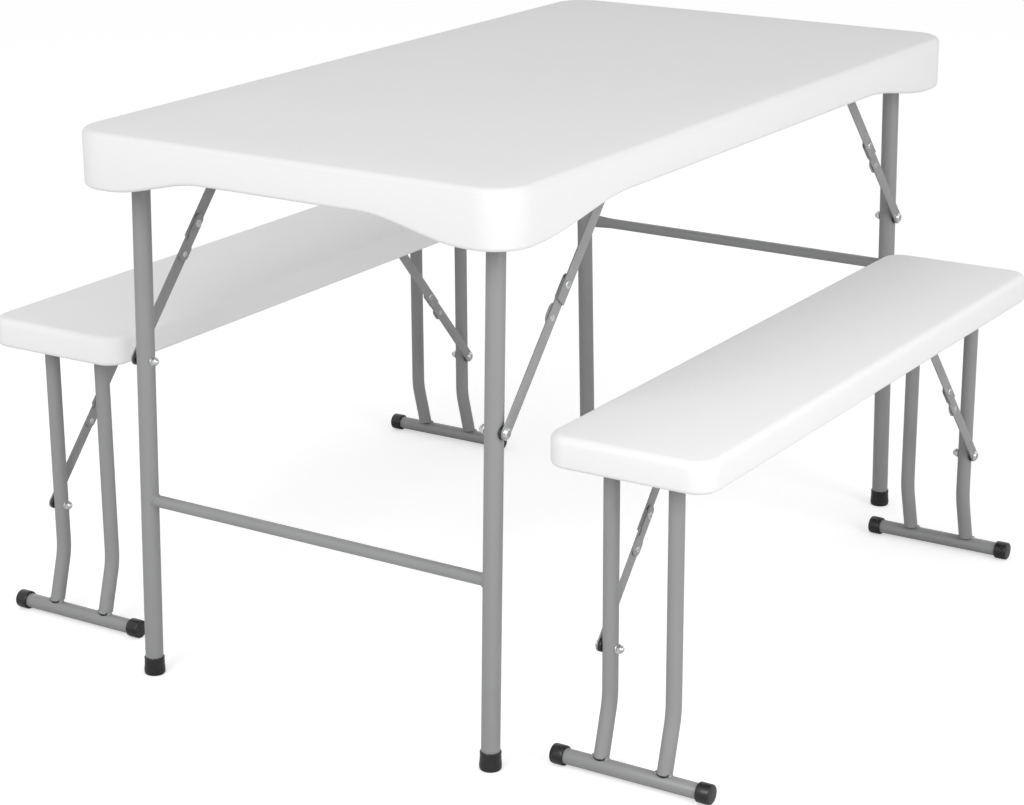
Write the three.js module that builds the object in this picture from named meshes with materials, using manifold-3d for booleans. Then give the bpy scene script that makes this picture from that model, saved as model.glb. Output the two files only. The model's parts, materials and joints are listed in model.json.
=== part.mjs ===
// White moulded folding table with two separate folding benches, standing as a set.
// Millimetres, +Z up. X runs across the table, Y along it, and the floor is Z = 0.
import * as THREE from 'three';
import { mergeVertices } from 'three/addons/utils/BufferGeometryUtils.js';
import Module from 'manifold-3d';

const wasm = await Module();
wasm.setup();

// Table top
const TABLE_LENGTH = 1200;
const TABLE_WIDTH = 660;
const TABLE_HEIGHT = 740;
const TOP_CORNER_RADIUS = 50;
const TOP_EDGE_ROUND = 10;
const DECK_THICKNESS = 20;
const SKIRT_WALL = 12;
const SKIRT_DEPTH = 74;
const ARCH_RISE = 24.5;
const CORNER_TAB = 62;
const END_ARCH_SWEEP = 150;
const SIDE_ARCH_SWEEP = 210;

// Shallow pockets moulded into the hidden undersides
const POCKET_DEPTH = 7;
const POCKET_RIB = 26;
const POCKET_MARGIN = 30;
const POCKET_PITCH = 240;
const POCKET_CORNER = 14;

// Table legs
const LEG_DIAMETER = 24;
const LEG_EDGE_INSET = 61.5;
const LEG_PIVOT_INSET = 68;
const LEG_PIVOT_DROP = 17;
const LEG_SPLAY = 22;
const LEG_TOP_RISE = 4;
const ROD_END_OVERRUN = 6;
const PIVOT_ROD_DIAMETER = 14;
const CROSSBAR_DIAMETER = 16;
const NEAR_CROSSBAR_HEIGHT = 244;
const FAR_CROSSBAR_HEIGHT = 391;
const CROSSBAR_FLAT_LENGTH = 45;
const CROSSBAR_FLATTENING = 0.55;
const FERRULE_WALL = 1.8;
const FERRULE_HEIGHT = 24;
const FERRULE_FLOOR = 4;

// Side rails under the deck
const RAIL_DEPTH = 28;
const RAIL_FLANGE = 20;
const RAIL_SHEET = 2;
const RAIL_END_INSET = 42;

// Folding braces of the table
const NEAR_BRACE_BOLT_DROP = 270;
const FAR_BRACE_BOLT_DROP = 236;
const NEAR_BRACE_REACH = 228;
const FAR_BRACE_REACH = 200;
const BRACE_WIDTH = 18;

// Bench
const BENCH_LENGTH = 988;
const BENCH_WIDTH = 222;
const BENCH_HEIGHT = 435;
const SEAT_THICKNESS = 40;
const SEAT_CORNER_RADIUS = 30;
const SEAT_EDGE_ROUND = 10;
const SEAT_WALL = 16;
const SEAT_DECK = 14;
const BENCH_RIGHT_X = 427.5;
const BENCH_RIGHT_Y = -29;
const BENCH_LEFT_X = -477.5;
const BENCH_LEFT_Y = -10;
const BENCH_TURN_DEGREES = 0.85;

// Bench legs
const BENCH_LEG_DIAMETER = 20;
const BENCH_LEG_EDGE_INSET = 67;
const BENCH_PIVOT_INSET = 51;
const BENCH_PIVOT_DROP = 21;
const BENCH_ROD_DIAMETER = 12;
const BEND_START = 110;
const BEND_SHARE = 0.4;
const BEND_OFFSET = 23;
const FOOT_TUBE_INSET = 3.5;
const CAP_WALL = 2.5;
const CAP_LENGTH = 21;
const BENCH_BOLT_DROP = 240;
const BENCH_BRACE_REACH = 212;
const BENCH_BRACE_WIDTH = 16;
const BRACKET_DEPTH = 24;
const BRACKET_OVERRUN = 22;

// Brace straps, rivets and bolts, shared by the table and the benches
const STRAP = 2;
const STRAP_TAIL = 24;
const LOCK_PLATE_LENGTH = 46;
const LOCK_PLATE_EXTRA = 3.5;
const BOLT_DIAMETER = 8;
const BOLT_HEAD_DIAMETER = 15;
const BOLT_HEAD_HEIGHT = 3.2;
const SPACER_DIAMETER = 17;
const NUT_ACROSS_CORNERS = 14.5;
const NUT_HEIGHT = 6;
const NUT_DOME = 5;
const NUT_DOME_LIP = 1;
const NUT_SIDES = 6;
const RIVET_DIAMETER = 7;
const RIVET_HEAD_DIAMETER = 12;
const RIVET_HEAD_HEIGHT = 1.5;
const RIVET_DIMPLE = 1;
const STUD_DIAMETER = 8;
const STUD_COLLAR_DIAMETER = 14;

// Clearances and facet counts
const GAP = 0.3;
const RUN_CLEARANCE = 0.8;
const MERGE_DISTANCE = 1e-4;
const TUBE_SIDES = 14;
const SMALL_SIDES = 10;
const BENCH_TUBE_SIDES = 12;
const CORNER_STEPS = 3;
const EDGE_STEPS = 3;
const BEND_STEPS = 5;
const STRAP_END_STEPS = 3;
const FLATTENED_STEPS = 8;
const POCKET_CORNER_STEPS = 2;

// Worked out from the sizes above
const LEG_RADIUS = LEG_DIAMETER / 2;
const LEG_MIDDLE = TABLE_WIDTH / 2 - LEG_EDGE_INSET;
const BENCH_LEG_RADIUS = BENCH_LEG_DIAMETER / 2;
const DECK_UNDERSIDE = TABLE_HEIGHT - DECK_THICKNESS;
const LEG_PIVOT_HEIGHT = DECK_UNDERSIDE - LEG_PIVOT_DROP;
const LEG_PIVOT_Y = TABLE_LENGTH / 2 - LEG_PIVOT_INSET;
const CAP_RADIUS = BENCH_LEG_RADIUS + GAP + CAP_WALL;
const FOOT_TUBE_HEIGHT = CAP_RADIUS * Math.cos(Math.PI / TUBE_SIDES);
const SEAT_UNDERSIDE = BENCH_HEIGHT - SEAT_DECK;
const BENCH_PIVOT_HEIGHT = SEAT_UNDERSIDE - BENCH_PIVOT_DROP;
const BENCH_PIVOT_Y = BENCH_LENGTH / 2 - BENCH_PIVOT_INSET;
const BENCH_LEG_MIDDLE = BENCH_WIDTH / 2 - BENCH_LEG_EDGE_INSET;
const FOOT_TUBE_END = BENCH_WIDTH / 2 - FOOT_TUBE_INSET;

const MATERIALS = {
  plastic: { color: 0xf1f1ef, roughness: 0.5, metalness: 0 },
  paint: { color: 0x8b8c8d, roughness: 0.45, metalness: 0.3 },
  strap: { color: 0x7d7e80, roughness: 0.42, metalness: 0.4 },
  zinc: { color: 0xd3d5d7, roughness: 0.3, metalness: 0.9 },
  rubber: { color: 0x1e1e1f, roughness: 0.7, metalness: 0 },
};

// A closed solid from a geometry: shared corners merged, collapsed facets dropped, faces outward.
function solid(geometry) {
  const bare = geometry.clone();
  bare.deleteAttribute('normal');
  bare.deleteAttribute('uv');
  const merged = mergeVertices(bare, MERGE_DISTANCE);
  const corners = merged.attributes.position;
  const facets = [];
  let volume = 0;
  const a = new THREE.Vector3();
  const b = new THREE.Vector3();
  const c = new THREE.Vector3();
  for (let i = 0; i < merged.index.count; i += 3) {
    const facet = [0, 1, 2].map((step) => merged.index.getX(i + step));
    if (new Set(facet).size < 3) continue;
    a.fromBufferAttribute(corners, facet[0]);
    b.fromBufferAttribute(corners, facet[1]);
    c.fromBufferAttribute(corners, facet[2]);
    volume += a.dot(b.cross(c));
    facets.push(facet);
  }
  if (volume < 0) facets.forEach((facet) => facet.reverse());
  const triVerts = new Uint32Array(facets.flat());
  return new wasm.Manifold(new wasm.Mesh({ numProp: 3, vertProperties: corners.array, triVerts }));
}

function join(...geometries) {
  return geometries.map(solid).reduce((whole, piece) => whole.add(piece));
}

function cut(body, ...geometries) {
  return geometries.map(solid).reduce((whole, piece) => whole.subtract(piece), body);
}

// A named mesh with its own material.
function piece(name, body, finish) {
  const { vertProperties, triVerts } = body.getMesh();
  const geometry = new THREE.BufferGeometry();
  geometry.setAttribute('position', new THREE.BufferAttribute(vertProperties, 3));
  geometry.setIndex(new THREE.BufferAttribute(triVerts, 1));
  geometry.computeVertexNormals();
  const mesh = new THREE.Mesh(geometry, new THREE.MeshStandardMaterial(MATERIALS[finish]));
  mesh.name = name;
  return mesh;
}

function groupAt(name, x, y, z) {
  const group = new THREE.Group();
  group.name = name;
  group.position.set(x, y, z);
  return group;
}

const vec = (x, y, z) => new THREE.Vector3(x, y, z);

// A round bar between two points.
function bar(from, to, radius, sides = TUBE_SIDES) {
  const along = to.clone().sub(from);
  const geometry = new THREE.CylinderGeometry(radius, radius, along.length(), sides);
  geometry.rotateY(Math.PI / sides);
  geometry.applyQuaternion(new THREE.Quaternion().setFromUnitVectors(vec(0, 1, 0), along.normalize()));
  const middle = from.clone().add(to).multiplyScalar(0.5);
  return geometry.translate(middle.x, middle.y, middle.z);
}

// A round bar along X at one height.
function crossBar(fromX, toX, radius, sides = TUBE_SIDES, y = 0, z = 0) {
  return bar(vec(Math.min(fromX, toX), y, z), vec(Math.max(fromX, toX), y, z), radius, sides);
}

// A turned piece on the X axis from pairs of radius and distance; side is +1 or -1.
function turned(profile, side, sides = TUBE_SIDES) {
  const outline = profile.map(([radius, distance]) => new THREE.Vector2(radius, distance));
  const geometry = new THREE.LatheGeometry(outline, sides);
  geometry.rotateY(Math.PI / sides);
  return geometry.rotateZ(-side * Math.PI / 2);
}

function roundedRectangle(width, length, radius) {
  const x = width / 2 - radius;
  const y = length / 2 - radius;
  const shape = new THREE.Shape();
  shape.absarc(x, y, radius, 0, Math.PI / 2);
  shape.absarc(-x, y, radius, Math.PI / 2, Math.PI);
  shape.absarc(-x, -y, radius, Math.PI, 1.5 * Math.PI);
  shape.absarc(x, -y, radius, 1.5 * Math.PI, 2 * Math.PI);
  shape.closePath();
  return shape;
}

// An upright block with a rounded plan, and its edges rounded top and bottom.
function roundedSlab(width, length, bottom, top, corner, edge) {
  const geometry = new THREE.ExtrudeGeometry(roundedRectangle(width, length, corner), {
    depth: top - bottom - 2 * edge,
    bevelEnabled: edge > 0,
    bevelThickness: edge,
    bevelSize: edge,
    bevelOffset: -edge,
    bevelSegments: EDGE_STEPS,
    curveSegments: CORNER_STEPS,
  });
  return geometry.translate(0, 0, bottom + edge);
}

// A flat outline in the plane of Y and Z, given its thickness along X.
function sheetAcross(shape, fromX, toX, curveSegments = STRAP_END_STEPS) {
  const depth = Math.abs(toX - fromX);
  const geometry = new THREE.ExtrudeGeometry(shape, { depth, bevelEnabled: false, curveSegments });
  geometry.applyMatrix4(new THREE.Matrix4().makeBasis(vec(0, 1, 0), vec(0, 0, 1), vec(1, 0, 0)));
  return geometry.translate(Math.min(fromX, toX), 0, 0);
}

// A flat outline in the plane of X and Z, given its length along Y.
function channelAlong(shape, fromY, toY) {
  const depth = Math.abs(toY - fromY);
  const geometry = new THREE.ExtrudeGeometry(shape, { depth, bevelEnabled: false });
  geometry.rotateX(Math.PI / 2);
  return geometry.translate(0, Math.max(fromY, toY), 0);
}

// The side view of the arch between two corner tabs, as a block to cut with.
function archOutline(length, sweep, tabHeight) {
  const foot = length / 2 - CORNER_TAB;
  const crown = foot - sweep;
  const knee = sweep / 2;
  const top = tabHeight + ARCH_RISE;
  const shape = new THREE.Shape();
  shape.moveTo(-foot, tabHeight - ARCH_RISE);
  shape.lineTo(foot, tabHeight - ARCH_RISE);
  shape.lineTo(foot, tabHeight);
  shape.bezierCurveTo(foot - knee, tabHeight, crown + knee, top, crown, top);
  shape.lineTo(-crown, top);
  shape.bezierCurveTo(-crown - knee, top, -foot + knee, tabHeight, -foot, tabHeight);
  shape.closePath();
  return shape;
}

// Shallow rounded pockets, in rows, that leave ribs between them on a hidden underside.
function pockets(width, length, underside) {
  const columns = Math.max(1, Math.round(width / POCKET_PITCH));
  const rows = Math.max(1, Math.round(length / POCKET_PITCH));
  const pitchX = width / columns;
  const pitchY = length / rows;
  const cutters = [];
  for (let column = 0; column < columns; column += 1) {
    for (let row = 0; row < rows; row += 1) {
      const shape = roundedRectangle(pitchX - POCKET_RIB, pitchY - POCKET_RIB, POCKET_CORNER);
      const cutter = new THREE.ExtrudeGeometry(shape, {
        depth: 2 * POCKET_DEPTH,
        bevelEnabled: false,
        curveSegments: POCKET_CORNER_STEPS,
      });
      const x = (column + 0.5) * pitchX - width / 2;
      const y = (row + 0.5) * pitchY - length / 2;
      cutters.push(cutter.translate(x, y, underside - POCKET_DEPTH));
    }
  }
  return cutters;
}

// A strap with round ends between two points of the plane of Y and Z.
function strapOutline(from, to, width) {
  const turn = to.clone().sub(from).angle();
  const half = width / 2;
  const shape = new THREE.Shape();
  shape.absarc(from.x, from.y, half, turn + Math.PI / 2, turn + 1.5 * Math.PI);
  shape.absarc(to.x, to.y, half, turn - Math.PI / 2, turn + Math.PI / 2);
  shape.closePath();
  return shape;
}

// Where a brace's pivots lie: its straps are in line when open, and folded flat when the leg is.
function bracePoints(pivot, bolt, reach, out) {
  const upper = new THREE.Vector2(pivot.x - out * reach, pivot.y);
  const span = upper.distanceTo(bolt);
  const lowerLength = (span + bolt.distanceTo(pivot) - reach) / 2;
  const elbow = bolt.clone().lerp(upper, lowerLength / span);
  return { bolt, elbow, upper };
}

// Distances of a brace's layers from the middle of its leg, outwards.
function braceLayers(legRadius) {
  const lock = legRadius + 2 * GAP + RIVET_DIMPLE;
  const lower = lock + STRAP;
  const upper = lower + STRAP + GAP;
  const head = upper + STRAP + GAP;
  const carrier = upper + BOLT_HEAD_HEIGHT + RUN_CLEARANCE;
  return { lock, lower, upper, head, carrier };
}

// The lower strap of a brace with its lock plate at the elbow; the bolt is the origin.
function lowerLink(points, layers, width, side) {
  const origin = new THREE.Vector2();
  const elbow = points.elbow.clone().sub(points.bolt);
  const strap = strapOutline(origin, elbow, width);
  const plateFoot = elbow.clone().multiplyScalar(1 - LOCK_PLATE_LENGTH / elbow.length());
  const plate = strapOutline(elbow, plateFoot, width + LOCK_PLATE_EXTRA);
  const body = join(
    sheetAcross(strap, side * layers.lower, side * layers.upper - side * GAP),
    sheetAcross(plate, side * layers.lock, side * (layers.lower + STRAP / 2)),
  );
  const boltHole = BOLT_DIAMETER / 2 + GAP;
  const rivetHole = RIVET_DIAMETER / 2 + GAP;
  return cut(
    body,
    crossBar(0, side * layers.carrier, boltHole, SMALL_SIDES),
    crossBar(0, side * layers.carrier, rivetHole, SMALL_SIDES, elbow.x, elbow.y),
  );
}

// The upper strap of a brace with its square tail past the elbow; its hidden pivot is the origin.
function upperLink(points, layers, width, side) {
  const origin = new THREE.Vector2();
  const elbow = points.elbow.clone().sub(points.upper);
  const tail = elbow.clone().multiplyScalar(1 + STRAP_TAIL / elbow.length());
  const across = new THREE.Vector2(-elbow.y, elbow.x).normalize().multiplyScalar(width / 2);
  const turn = Math.atan2(elbow.y, elbow.x);
  const shape = new THREE.Shape();
  shape.absarc(origin.x, origin.y, width / 2, turn + Math.PI / 2, turn + 1.5 * Math.PI);
  shape.lineTo(tail.x - across.x, tail.y - across.y);
  shape.lineTo(tail.x + across.x, tail.y + across.y);
  shape.closePath();
  return cut(
    solid(sheetAcross(shape, side * layers.upper, side * (layers.upper + STRAP))),
    crossBar(0, side * layers.carrier, STUD_DIAMETER / 2 + GAP, SMALL_SIDES),
    crossBar(0, side * layers.carrier, RIVET_DIAMETER / 2 + GAP, SMALL_SIDES, elbow.x, elbow.y),
  );
}

// The hollow rivet that shows at the elbow, clenched in the upper strap.
function elbowRivet(layers, side) {
  const hollow = RIVET_DIAMETER / 4;
  const shank = RIVET_DIAMETER / 2;
  const rim = RIVET_HEAD_DIAMETER / 2;
  const top = layers.head + RIVET_HEAD_HEIGHT;
  const profile = [
    [hollow, layers.upper + GAP],
    [shank, layers.upper + GAP],
    [shank, layers.head],
    [rim, layers.head],
    [rim - RIVET_HEAD_HEIGHT, top],
    [hollow, top],
    [hollow, layers.upper + GAP],
  ];
  return solid(turned(profile, side, SMALL_SIDES));
}

// The bolt through the leg: pan head outside, spacer against the leg, domed nut on the inner side.
function linkBolt(layers, legRadius, side) {
  const shank = BOLT_DIAMETER / 2;
  const rim = BOLT_HEAD_DIAMETER / 2;
  const nutFace = -(legRadius + GAP);
  const nutEnd = nutFace - NUT_HEIGHT;
  const headFace = layers.upper;
  const headEnd = headFace + BOLT_HEAD_HEIGHT;
  const profile = [
    [0, nutEnd - NUT_DOME],
    [shank, nutEnd - NUT_DOME / 2],
    [shank + NUT_DOME_LIP, nutEnd + NUT_DOME_LIP],
    [shank, nutEnd + NUT_DOME_LIP],
    [shank, legRadius + GAP],
    [SPACER_DIAMETER / 2, legRadius + GAP],
    [SPACER_DIAMETER / 2, layers.lower - GAP],
    [shank, layers.lower - GAP],
    [shank, headFace],
    [rim, headFace],
    [rim - BOLT_HEAD_HEIGHT / 2, headEnd],
    [0, headEnd],
  ];
  const nut = crossBar(side * nutFace, side * nutEnd, NUT_ACROSS_CORNERS / 2, NUT_SIDES);
  return join(turned(profile, side, SMALL_SIDES), nut);
}

// The stud that carries the upper strap, standing inwards from its rail or bracket.
function strapStud(layers, side, middle, y, z) {
  const tip = middle + side * (layers.upper + GAP);
  const collar = middle + side * layers.head;
  const wall = middle + side * (layers.carrier + RAIL_SHEET / 2);
  return [
    crossBar(tip, wall, STUD_DIAMETER / 2, SMALL_SIDES, y, z),
    crossBar(collar, wall, STUD_COLLAR_DIAMETER / 2, SMALL_SIDES, y, z),
  ];
}

function tableTop() {
  const skirtFoot = TABLE_HEIGHT - SKIRT_DEPTH;
  const buried = skirtFoot - 2 * TOP_EDGE_ROUND;
  const outer = roundedSlab(
    TABLE_WIDTH, TABLE_LENGTH, buried, TABLE_HEIGHT, TOP_CORNER_RADIUS, TOP_EDGE_ROUND,
  );
  const innerWidth = TABLE_WIDTH - 2 * SKIRT_WALL;
  const innerLength = TABLE_LENGTH - 2 * SKIRT_WALL;
  const innerCorner = TOP_CORNER_RADIUS - SKIRT_WALL;
  const hollow = roundedSlab(innerWidth, innerLength, buried - 1, DECK_UNDERSIDE, innerCorner, 0);
  const trim = roundedSlab(TABLE_WIDTH * 2, TABLE_LENGTH * 2, buried - 1, skirtFoot, 1, 0);
  const longArch = sheetAcross(archOutline(TABLE_LENGTH, SIDE_ARCH_SWEEP, skirtFoot), -TABLE_WIDTH, TABLE_WIDTH);
  const shortArch = channelAlong(archOutline(TABLE_WIDTH, END_ARCH_SWEEP, skirtFoot), -TABLE_LENGTH, TABLE_LENGTH);
  const rails = LEG_MIDDLE + braceLayers(LEG_RADIUS).carrier;
  const ribbedWidth = 2 * (rails - POCKET_MARGIN);
  const ribbedLength = 2 * (LEG_PIVOT_Y - POCKET_MARGIN);
  return cut(
    solid(outer), hollow, trim, longArch, shortArch,
    ...pockets(ribbedWidth, ribbedLength, DECK_UNDERSIDE),
  );
}

// A pressed channel along the table that carries the leg rods and the upper ends of the braces.
function sideRail(side, layers, points) {
  const inner = LEG_MIDDLE + layers.carrier;
  const outer = inner + RAIL_FLANGE;
  const top = DECK_UNDERSIDE - GAP;
  const bottom = top - RAIL_DEPTH;
  const shape = new THREE.Shape();
  shape.moveTo(side * inner, top);
  shape.lineTo(side * outer, top);
  shape.lineTo(side * outer, top - RAIL_SHEET);
  shape.lineTo(side * (inner + RAIL_SHEET), top - RAIL_SHEET);
  shape.lineTo(side * (inner + RAIL_SHEET), bottom + RAIL_SHEET);
  shape.lineTo(side * outer, bottom + RAIL_SHEET);
  shape.lineTo(side * outer, bottom);
  shape.lineTo(side * inner, bottom);
  shape.closePath();
  const end = TABLE_LENGTH / 2 - RAIL_END_INSET;
  const studs = [];
  const holes = [];
  for (const out of [-1, 1]) {
    const brace = points(out);
    studs.push(...strapStud(layers, side, side * LEG_MIDDLE, brace.upper.x, brace.upper.y));
    const hole = PIVOT_ROD_DIAMETER / 2 + GAP;
    const reach = side * outer;
    holes.push(crossBar(0, reach, hole, TUBE_SIDES, out * LEG_PIVOT_Y, LEG_PIVOT_HEIGHT));
  }
  return cut(join(channelAlong(shape, -end, end), ...studs), ...holes);
}

// The distance of the table's leg from its pivot, outwards, at a depth below it.
function splayAt(depth) {
  return LEG_SPLAY * depth / LEG_PIVOT_HEIGHT;
}

function boltDrop(out) {
  return out < 0 ? NEAR_BRACE_BOLT_DROP : FAR_BRACE_BOLT_DROP;
}

// A bar across the legs whose ends are pressed flat where they are welded on.
function flattenedBar(halfLength, y, z) {
  const geometry = new THREE.CylinderGeometry(
    CROSSBAR_DIAMETER / 2, CROSSBAR_DIAMETER / 2, 2 * halfLength, SMALL_SIDES, FLATTENED_STEPS,
  );
  geometry.rotateZ(-Math.PI / 2);
  const corners = geometry.attributes.position;
  const flatFrom = halfLength - LEG_RADIUS - CROSSBAR_FLAT_LENGTH;
  for (let i = 0; i < corners.count; i += 1) {
    const along = (Math.abs(corners.getX(i)) - flatFrom) / CROSSBAR_FLAT_LENGTH;
    const press = CROSSBAR_FLATTENING * THREE.MathUtils.smoothstep(along, 0, 1);
    corners.setY(i, corners.getY(i) * (1 - press));
    corners.setZ(i, corners.getZ(i) * (1 + press / 2));
  }
  return geometry.translate(0, y, z);
}

// Two splayed legs, their crossbar and the rod that they turn on; the rod is the origin.
function tableLegs(out, crossbarHeight, layers) {
  const half = LEG_MIDDLE;
  const footDepth = LEG_PIVOT_HEIGHT - FERRULE_FLOOR;
  const crossDepth = LEG_PIVOT_HEIGHT - crossbarHeight;
  const rodEnd = half + layers.carrier + ROD_END_OVERRUN;
  const pieces = [
    crossBar(-rodEnd, rodEnd, PIVOT_ROD_DIAMETER / 2),
    flattenedBar(half, out * splayAt(crossDepth), -crossDepth),
  ];
  const holes = [];
  for (const side of [-1, 1]) {
    const foot = vec(side * half, out * splayAt(footDepth), -footDepth);
    pieces.push(bar(foot, vec(side * half, -out * splayAt(LEG_TOP_RISE), LEG_TOP_RISE), LEG_RADIUS));
    const bolt = vec(side * half, out * splayAt(boltDrop(out)), -boltDrop(out));
    const hole = BOLT_DIAMETER / 2 + GAP;
    const reach = LEG_DIAMETER;
    holes.push(crossBar(bolt.x - reach, bolt.x + reach, hole, SMALL_SIDES, bolt.y, bolt.z));
  }
  return cut(join(...pieces), ...holes);
}

// A rubber cup on the foot of a splayed leg, trimmed level with the floor.
function footFerrule(side, out) {
  const bore = LEG_RADIUS + GAP;
  const wall = bore + FERRULE_WALL;
  const tilt = Math.atan2(LEG_SPLAY, LEG_PIVOT_HEIGHT);
  const buried = -FERRULE_FLOOR;
  const seat = FERRULE_FLOOR - GAP;
  const outline = [
    [0, buried],
    [wall, buried],
    [wall + FERRULE_WALL / 2, FERRULE_FLOOR],
    [wall, FERRULE_HEIGHT - FERRULE_WALL],
    [wall - FERRULE_WALL / 2, FERRULE_HEIGHT],
    [bore, FERRULE_HEIGHT],
    [bore, seat],
    [0, seat],
  ].map(([radius, height]) => new THREE.Vector2(radius, height));
  const cup = new THREE.LatheGeometry(outline, TUBE_SIDES);
  cup.rotateY(Math.PI / TUBE_SIDES);
  cup.rotateX(Math.PI / 2 + out * tilt);
  cup.translate(side * LEG_MIDDLE, out * LEG_SPLAY, -LEG_PIVOT_HEIGHT);
  const floor = new THREE.BoxGeometry(4 * wall, 4 * wall, 4 * wall);
  floor.translate(side * LEG_MIDDLE, out * LEG_SPLAY, -LEG_PIVOT_HEIGHT - 2 * wall);
  return cut(solid(cup), floor);
}

const END_NAMES = { '-1': 'near', 1: 'far' };
const SIDE_NAMES = { '-1': 'left', 1: 'right' };

// A brace's own pieces, hung on its two carriers.
function addBrace(label, carrier, legs, pivot, points, layers, width, legRadius, side, x) {
  const bolt = points.bolt.clone().sub(pivot);
  const lower = groupAt(`pivot_lower_link_${label}`, x, bolt.x, bolt.y);
  lower.add(piece(`${label}_lower_link`, lowerLink(points, layers, width, side), 'strap'));
  lower.add(piece(`${label}_link_bolt`, linkBolt(layers, legRadius, side), 'zinc'));
  legs.add(lower);
  const upper = groupAt(`pivot_upper_link_${label}`, x, points.upper.x, points.upper.y);
  upper.add(piece(`${label}_upper_link`, upperLink(points, layers, width, side), 'strap'));
  const elbow = points.elbow.clone().sub(points.upper);
  const rivet = piece(`${label}_elbow_rivet`, elbowRivet(layers, side), 'zinc');
  rivet.position.set(0, elbow.x, elbow.y);
  upper.add(rivet);
  carrier.add(upper);
}

function tableBracePoints(out) {
  const pivot = new THREE.Vector2(out * LEG_PIVOT_Y, LEG_PIVOT_HEIGHT);
  const boltY = out * (LEG_PIVOT_Y + splayAt(boltDrop(out)));
  const bolt = new THREE.Vector2(boltY, LEG_PIVOT_HEIGHT - boltDrop(out));
  const reach = out < 0 ? NEAR_BRACE_REACH : FAR_BRACE_REACH;
  return { pivot, ...bracePoints(pivot, bolt, reach, out) };
}

function table() {
  const whole = groupAt('table', 0, 0, 0);
  const layers = braceLayers(LEG_RADIUS);
  whole.add(piece('table_top', tableTop(), 'plastic'));
  for (const side of [-1, 1]) {
    const rail = sideRail(side, layers, tableBracePoints);
    whole.add(piece(`side_rail_${SIDE_NAMES[side]}`, rail, 'paint'));
  }
  for (const out of [-1, 1]) {
    const end = END_NAMES[out];
    const points = tableBracePoints(out);
    const legs = groupAt(`pivot_table_legs_${end}`, 0, points.pivot.x, points.pivot.y);
    const crossbarHeight = out < 0 ? NEAR_CROSSBAR_HEIGHT : FAR_CROSSBAR_HEIGHT;
    legs.add(piece(`table_legs_${end}`, tableLegs(out, crossbarHeight, layers), 'paint'));
    for (const side of [-1, 1]) {
      const label = `table_${end}_${SIDE_NAMES[side]}`;
      legs.add(piece(`${label}_foot_ferrule`, footFerrule(side, out), 'rubber'));
      const x = side * LEG_MIDDLE;
      addBrace(label, whole, legs, points.pivot, points, layers, BRACE_WIDTH, LEG_RADIUS, side, x);
    }
    whole.add(legs);
  }
  return whole;
}

function benchSeat() {
  const bottom = BENCH_HEIGHT - SEAT_THICKNESS;
  const outer = roundedSlab(
    BENCH_WIDTH, BENCH_LENGTH, bottom, BENCH_HEIGHT, SEAT_CORNER_RADIUS, SEAT_EDGE_ROUND,
  );
  const innerWidth = BENCH_WIDTH - 2 * SEAT_WALL;
  const innerLength = BENCH_LENGTH - 2 * SEAT_WALL;
  const innerCorner = SEAT_CORNER_RADIUS - SEAT_WALL;
  const hollow = roundedSlab(
    innerWidth, innerLength, bottom - SEAT_THICKNESS, SEAT_UNDERSIDE, innerCorner, 0,
  );
  const ribbedLength = 2 * (BENCH_PIVOT_Y - BENCH_BRACE_REACH - BRACKET_OVERRUN - POCKET_RIB);
  return cut(solid(outer), hollow, ...pockets(innerWidth - POCKET_RIB, ribbedLength, SEAT_UNDERSIDE));
}

// A pressed channel under the seat that carries one pair of legs and the brace's upper end.
function seatBracket(out, side, layers, points) {
  const inner = BENCH_LEG_MIDDLE + layers.carrier;
  const outer = inner + RAIL_SHEET;
  const top = SEAT_UNDERSIDE - GAP;
  const bottom = top - BRACKET_DEPTH;
  const shape = new THREE.Shape();
  shape.moveTo(-outer, bottom);
  shape.lineTo(-inner, bottom);
  shape.lineTo(-inner, top - RAIL_SHEET);
  shape.lineTo(inner, top - RAIL_SHEET);
  shape.lineTo(inner, bottom);
  shape.lineTo(outer, bottom);
  shape.lineTo(outer, top);
  shape.lineTo(-outer, top);
  shape.closePath();
  const channel = channelAlong(
    shape, out * (BENCH_PIVOT_Y + BRACKET_OVERRUN), points.upper.x - out * BRACKET_OVERRUN,
  );
  const middle = side * BENCH_LEG_MIDDLE;
  const studs = strapStud(layers, side, middle, points.upper.x, points.upper.y);
  const hole = BENCH_ROD_DIAMETER / 2 + GAP;
  return cut(
    join(channel, ...studs),
    crossBar(-2 * outer, 2 * outer, hole, TUBE_SIDES, points.pivot.x, points.pivot.y),
  );
}

// The share of the outward sweep at a share of the way down: an even bend that runs out straight.
function sweepShare(down) {
  const reach = 2 - BEND_SHARE;
  if (down < BEND_SHARE) {
    return down * down / (BEND_SHARE * reach);
  }
  return (2 * down - BEND_SHARE) / reach;
}

// The middle line of a bench leg: straight, then bent outwards just above the foot tube.
class SweptLeg extends THREE.Curve {
  constructor(x, out, top, bendTop, bottom) {
    super();
    Object.assign(this, { x, out, top, bendTop, bottom });
  }

  getUtoTmapping(u) {
    return u;
  }

  getPoint(t, target = new THREE.Vector3()) {
    const straight = 1 / (BEND_STEPS + 1);
    const down = (t - straight) / (1 - straight);
    if (down <= 0) {
      return target.set(this.x, 0, THREE.MathUtils.lerp(this.top, this.bendTop, t / straight));
    }
    const sweep = this.out * BEND_OFFSET * sweepShare(down);
    return target.set(this.x, sweep, THREE.MathUtils.lerp(this.bendTop, this.bottom, down));
  }
}

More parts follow.
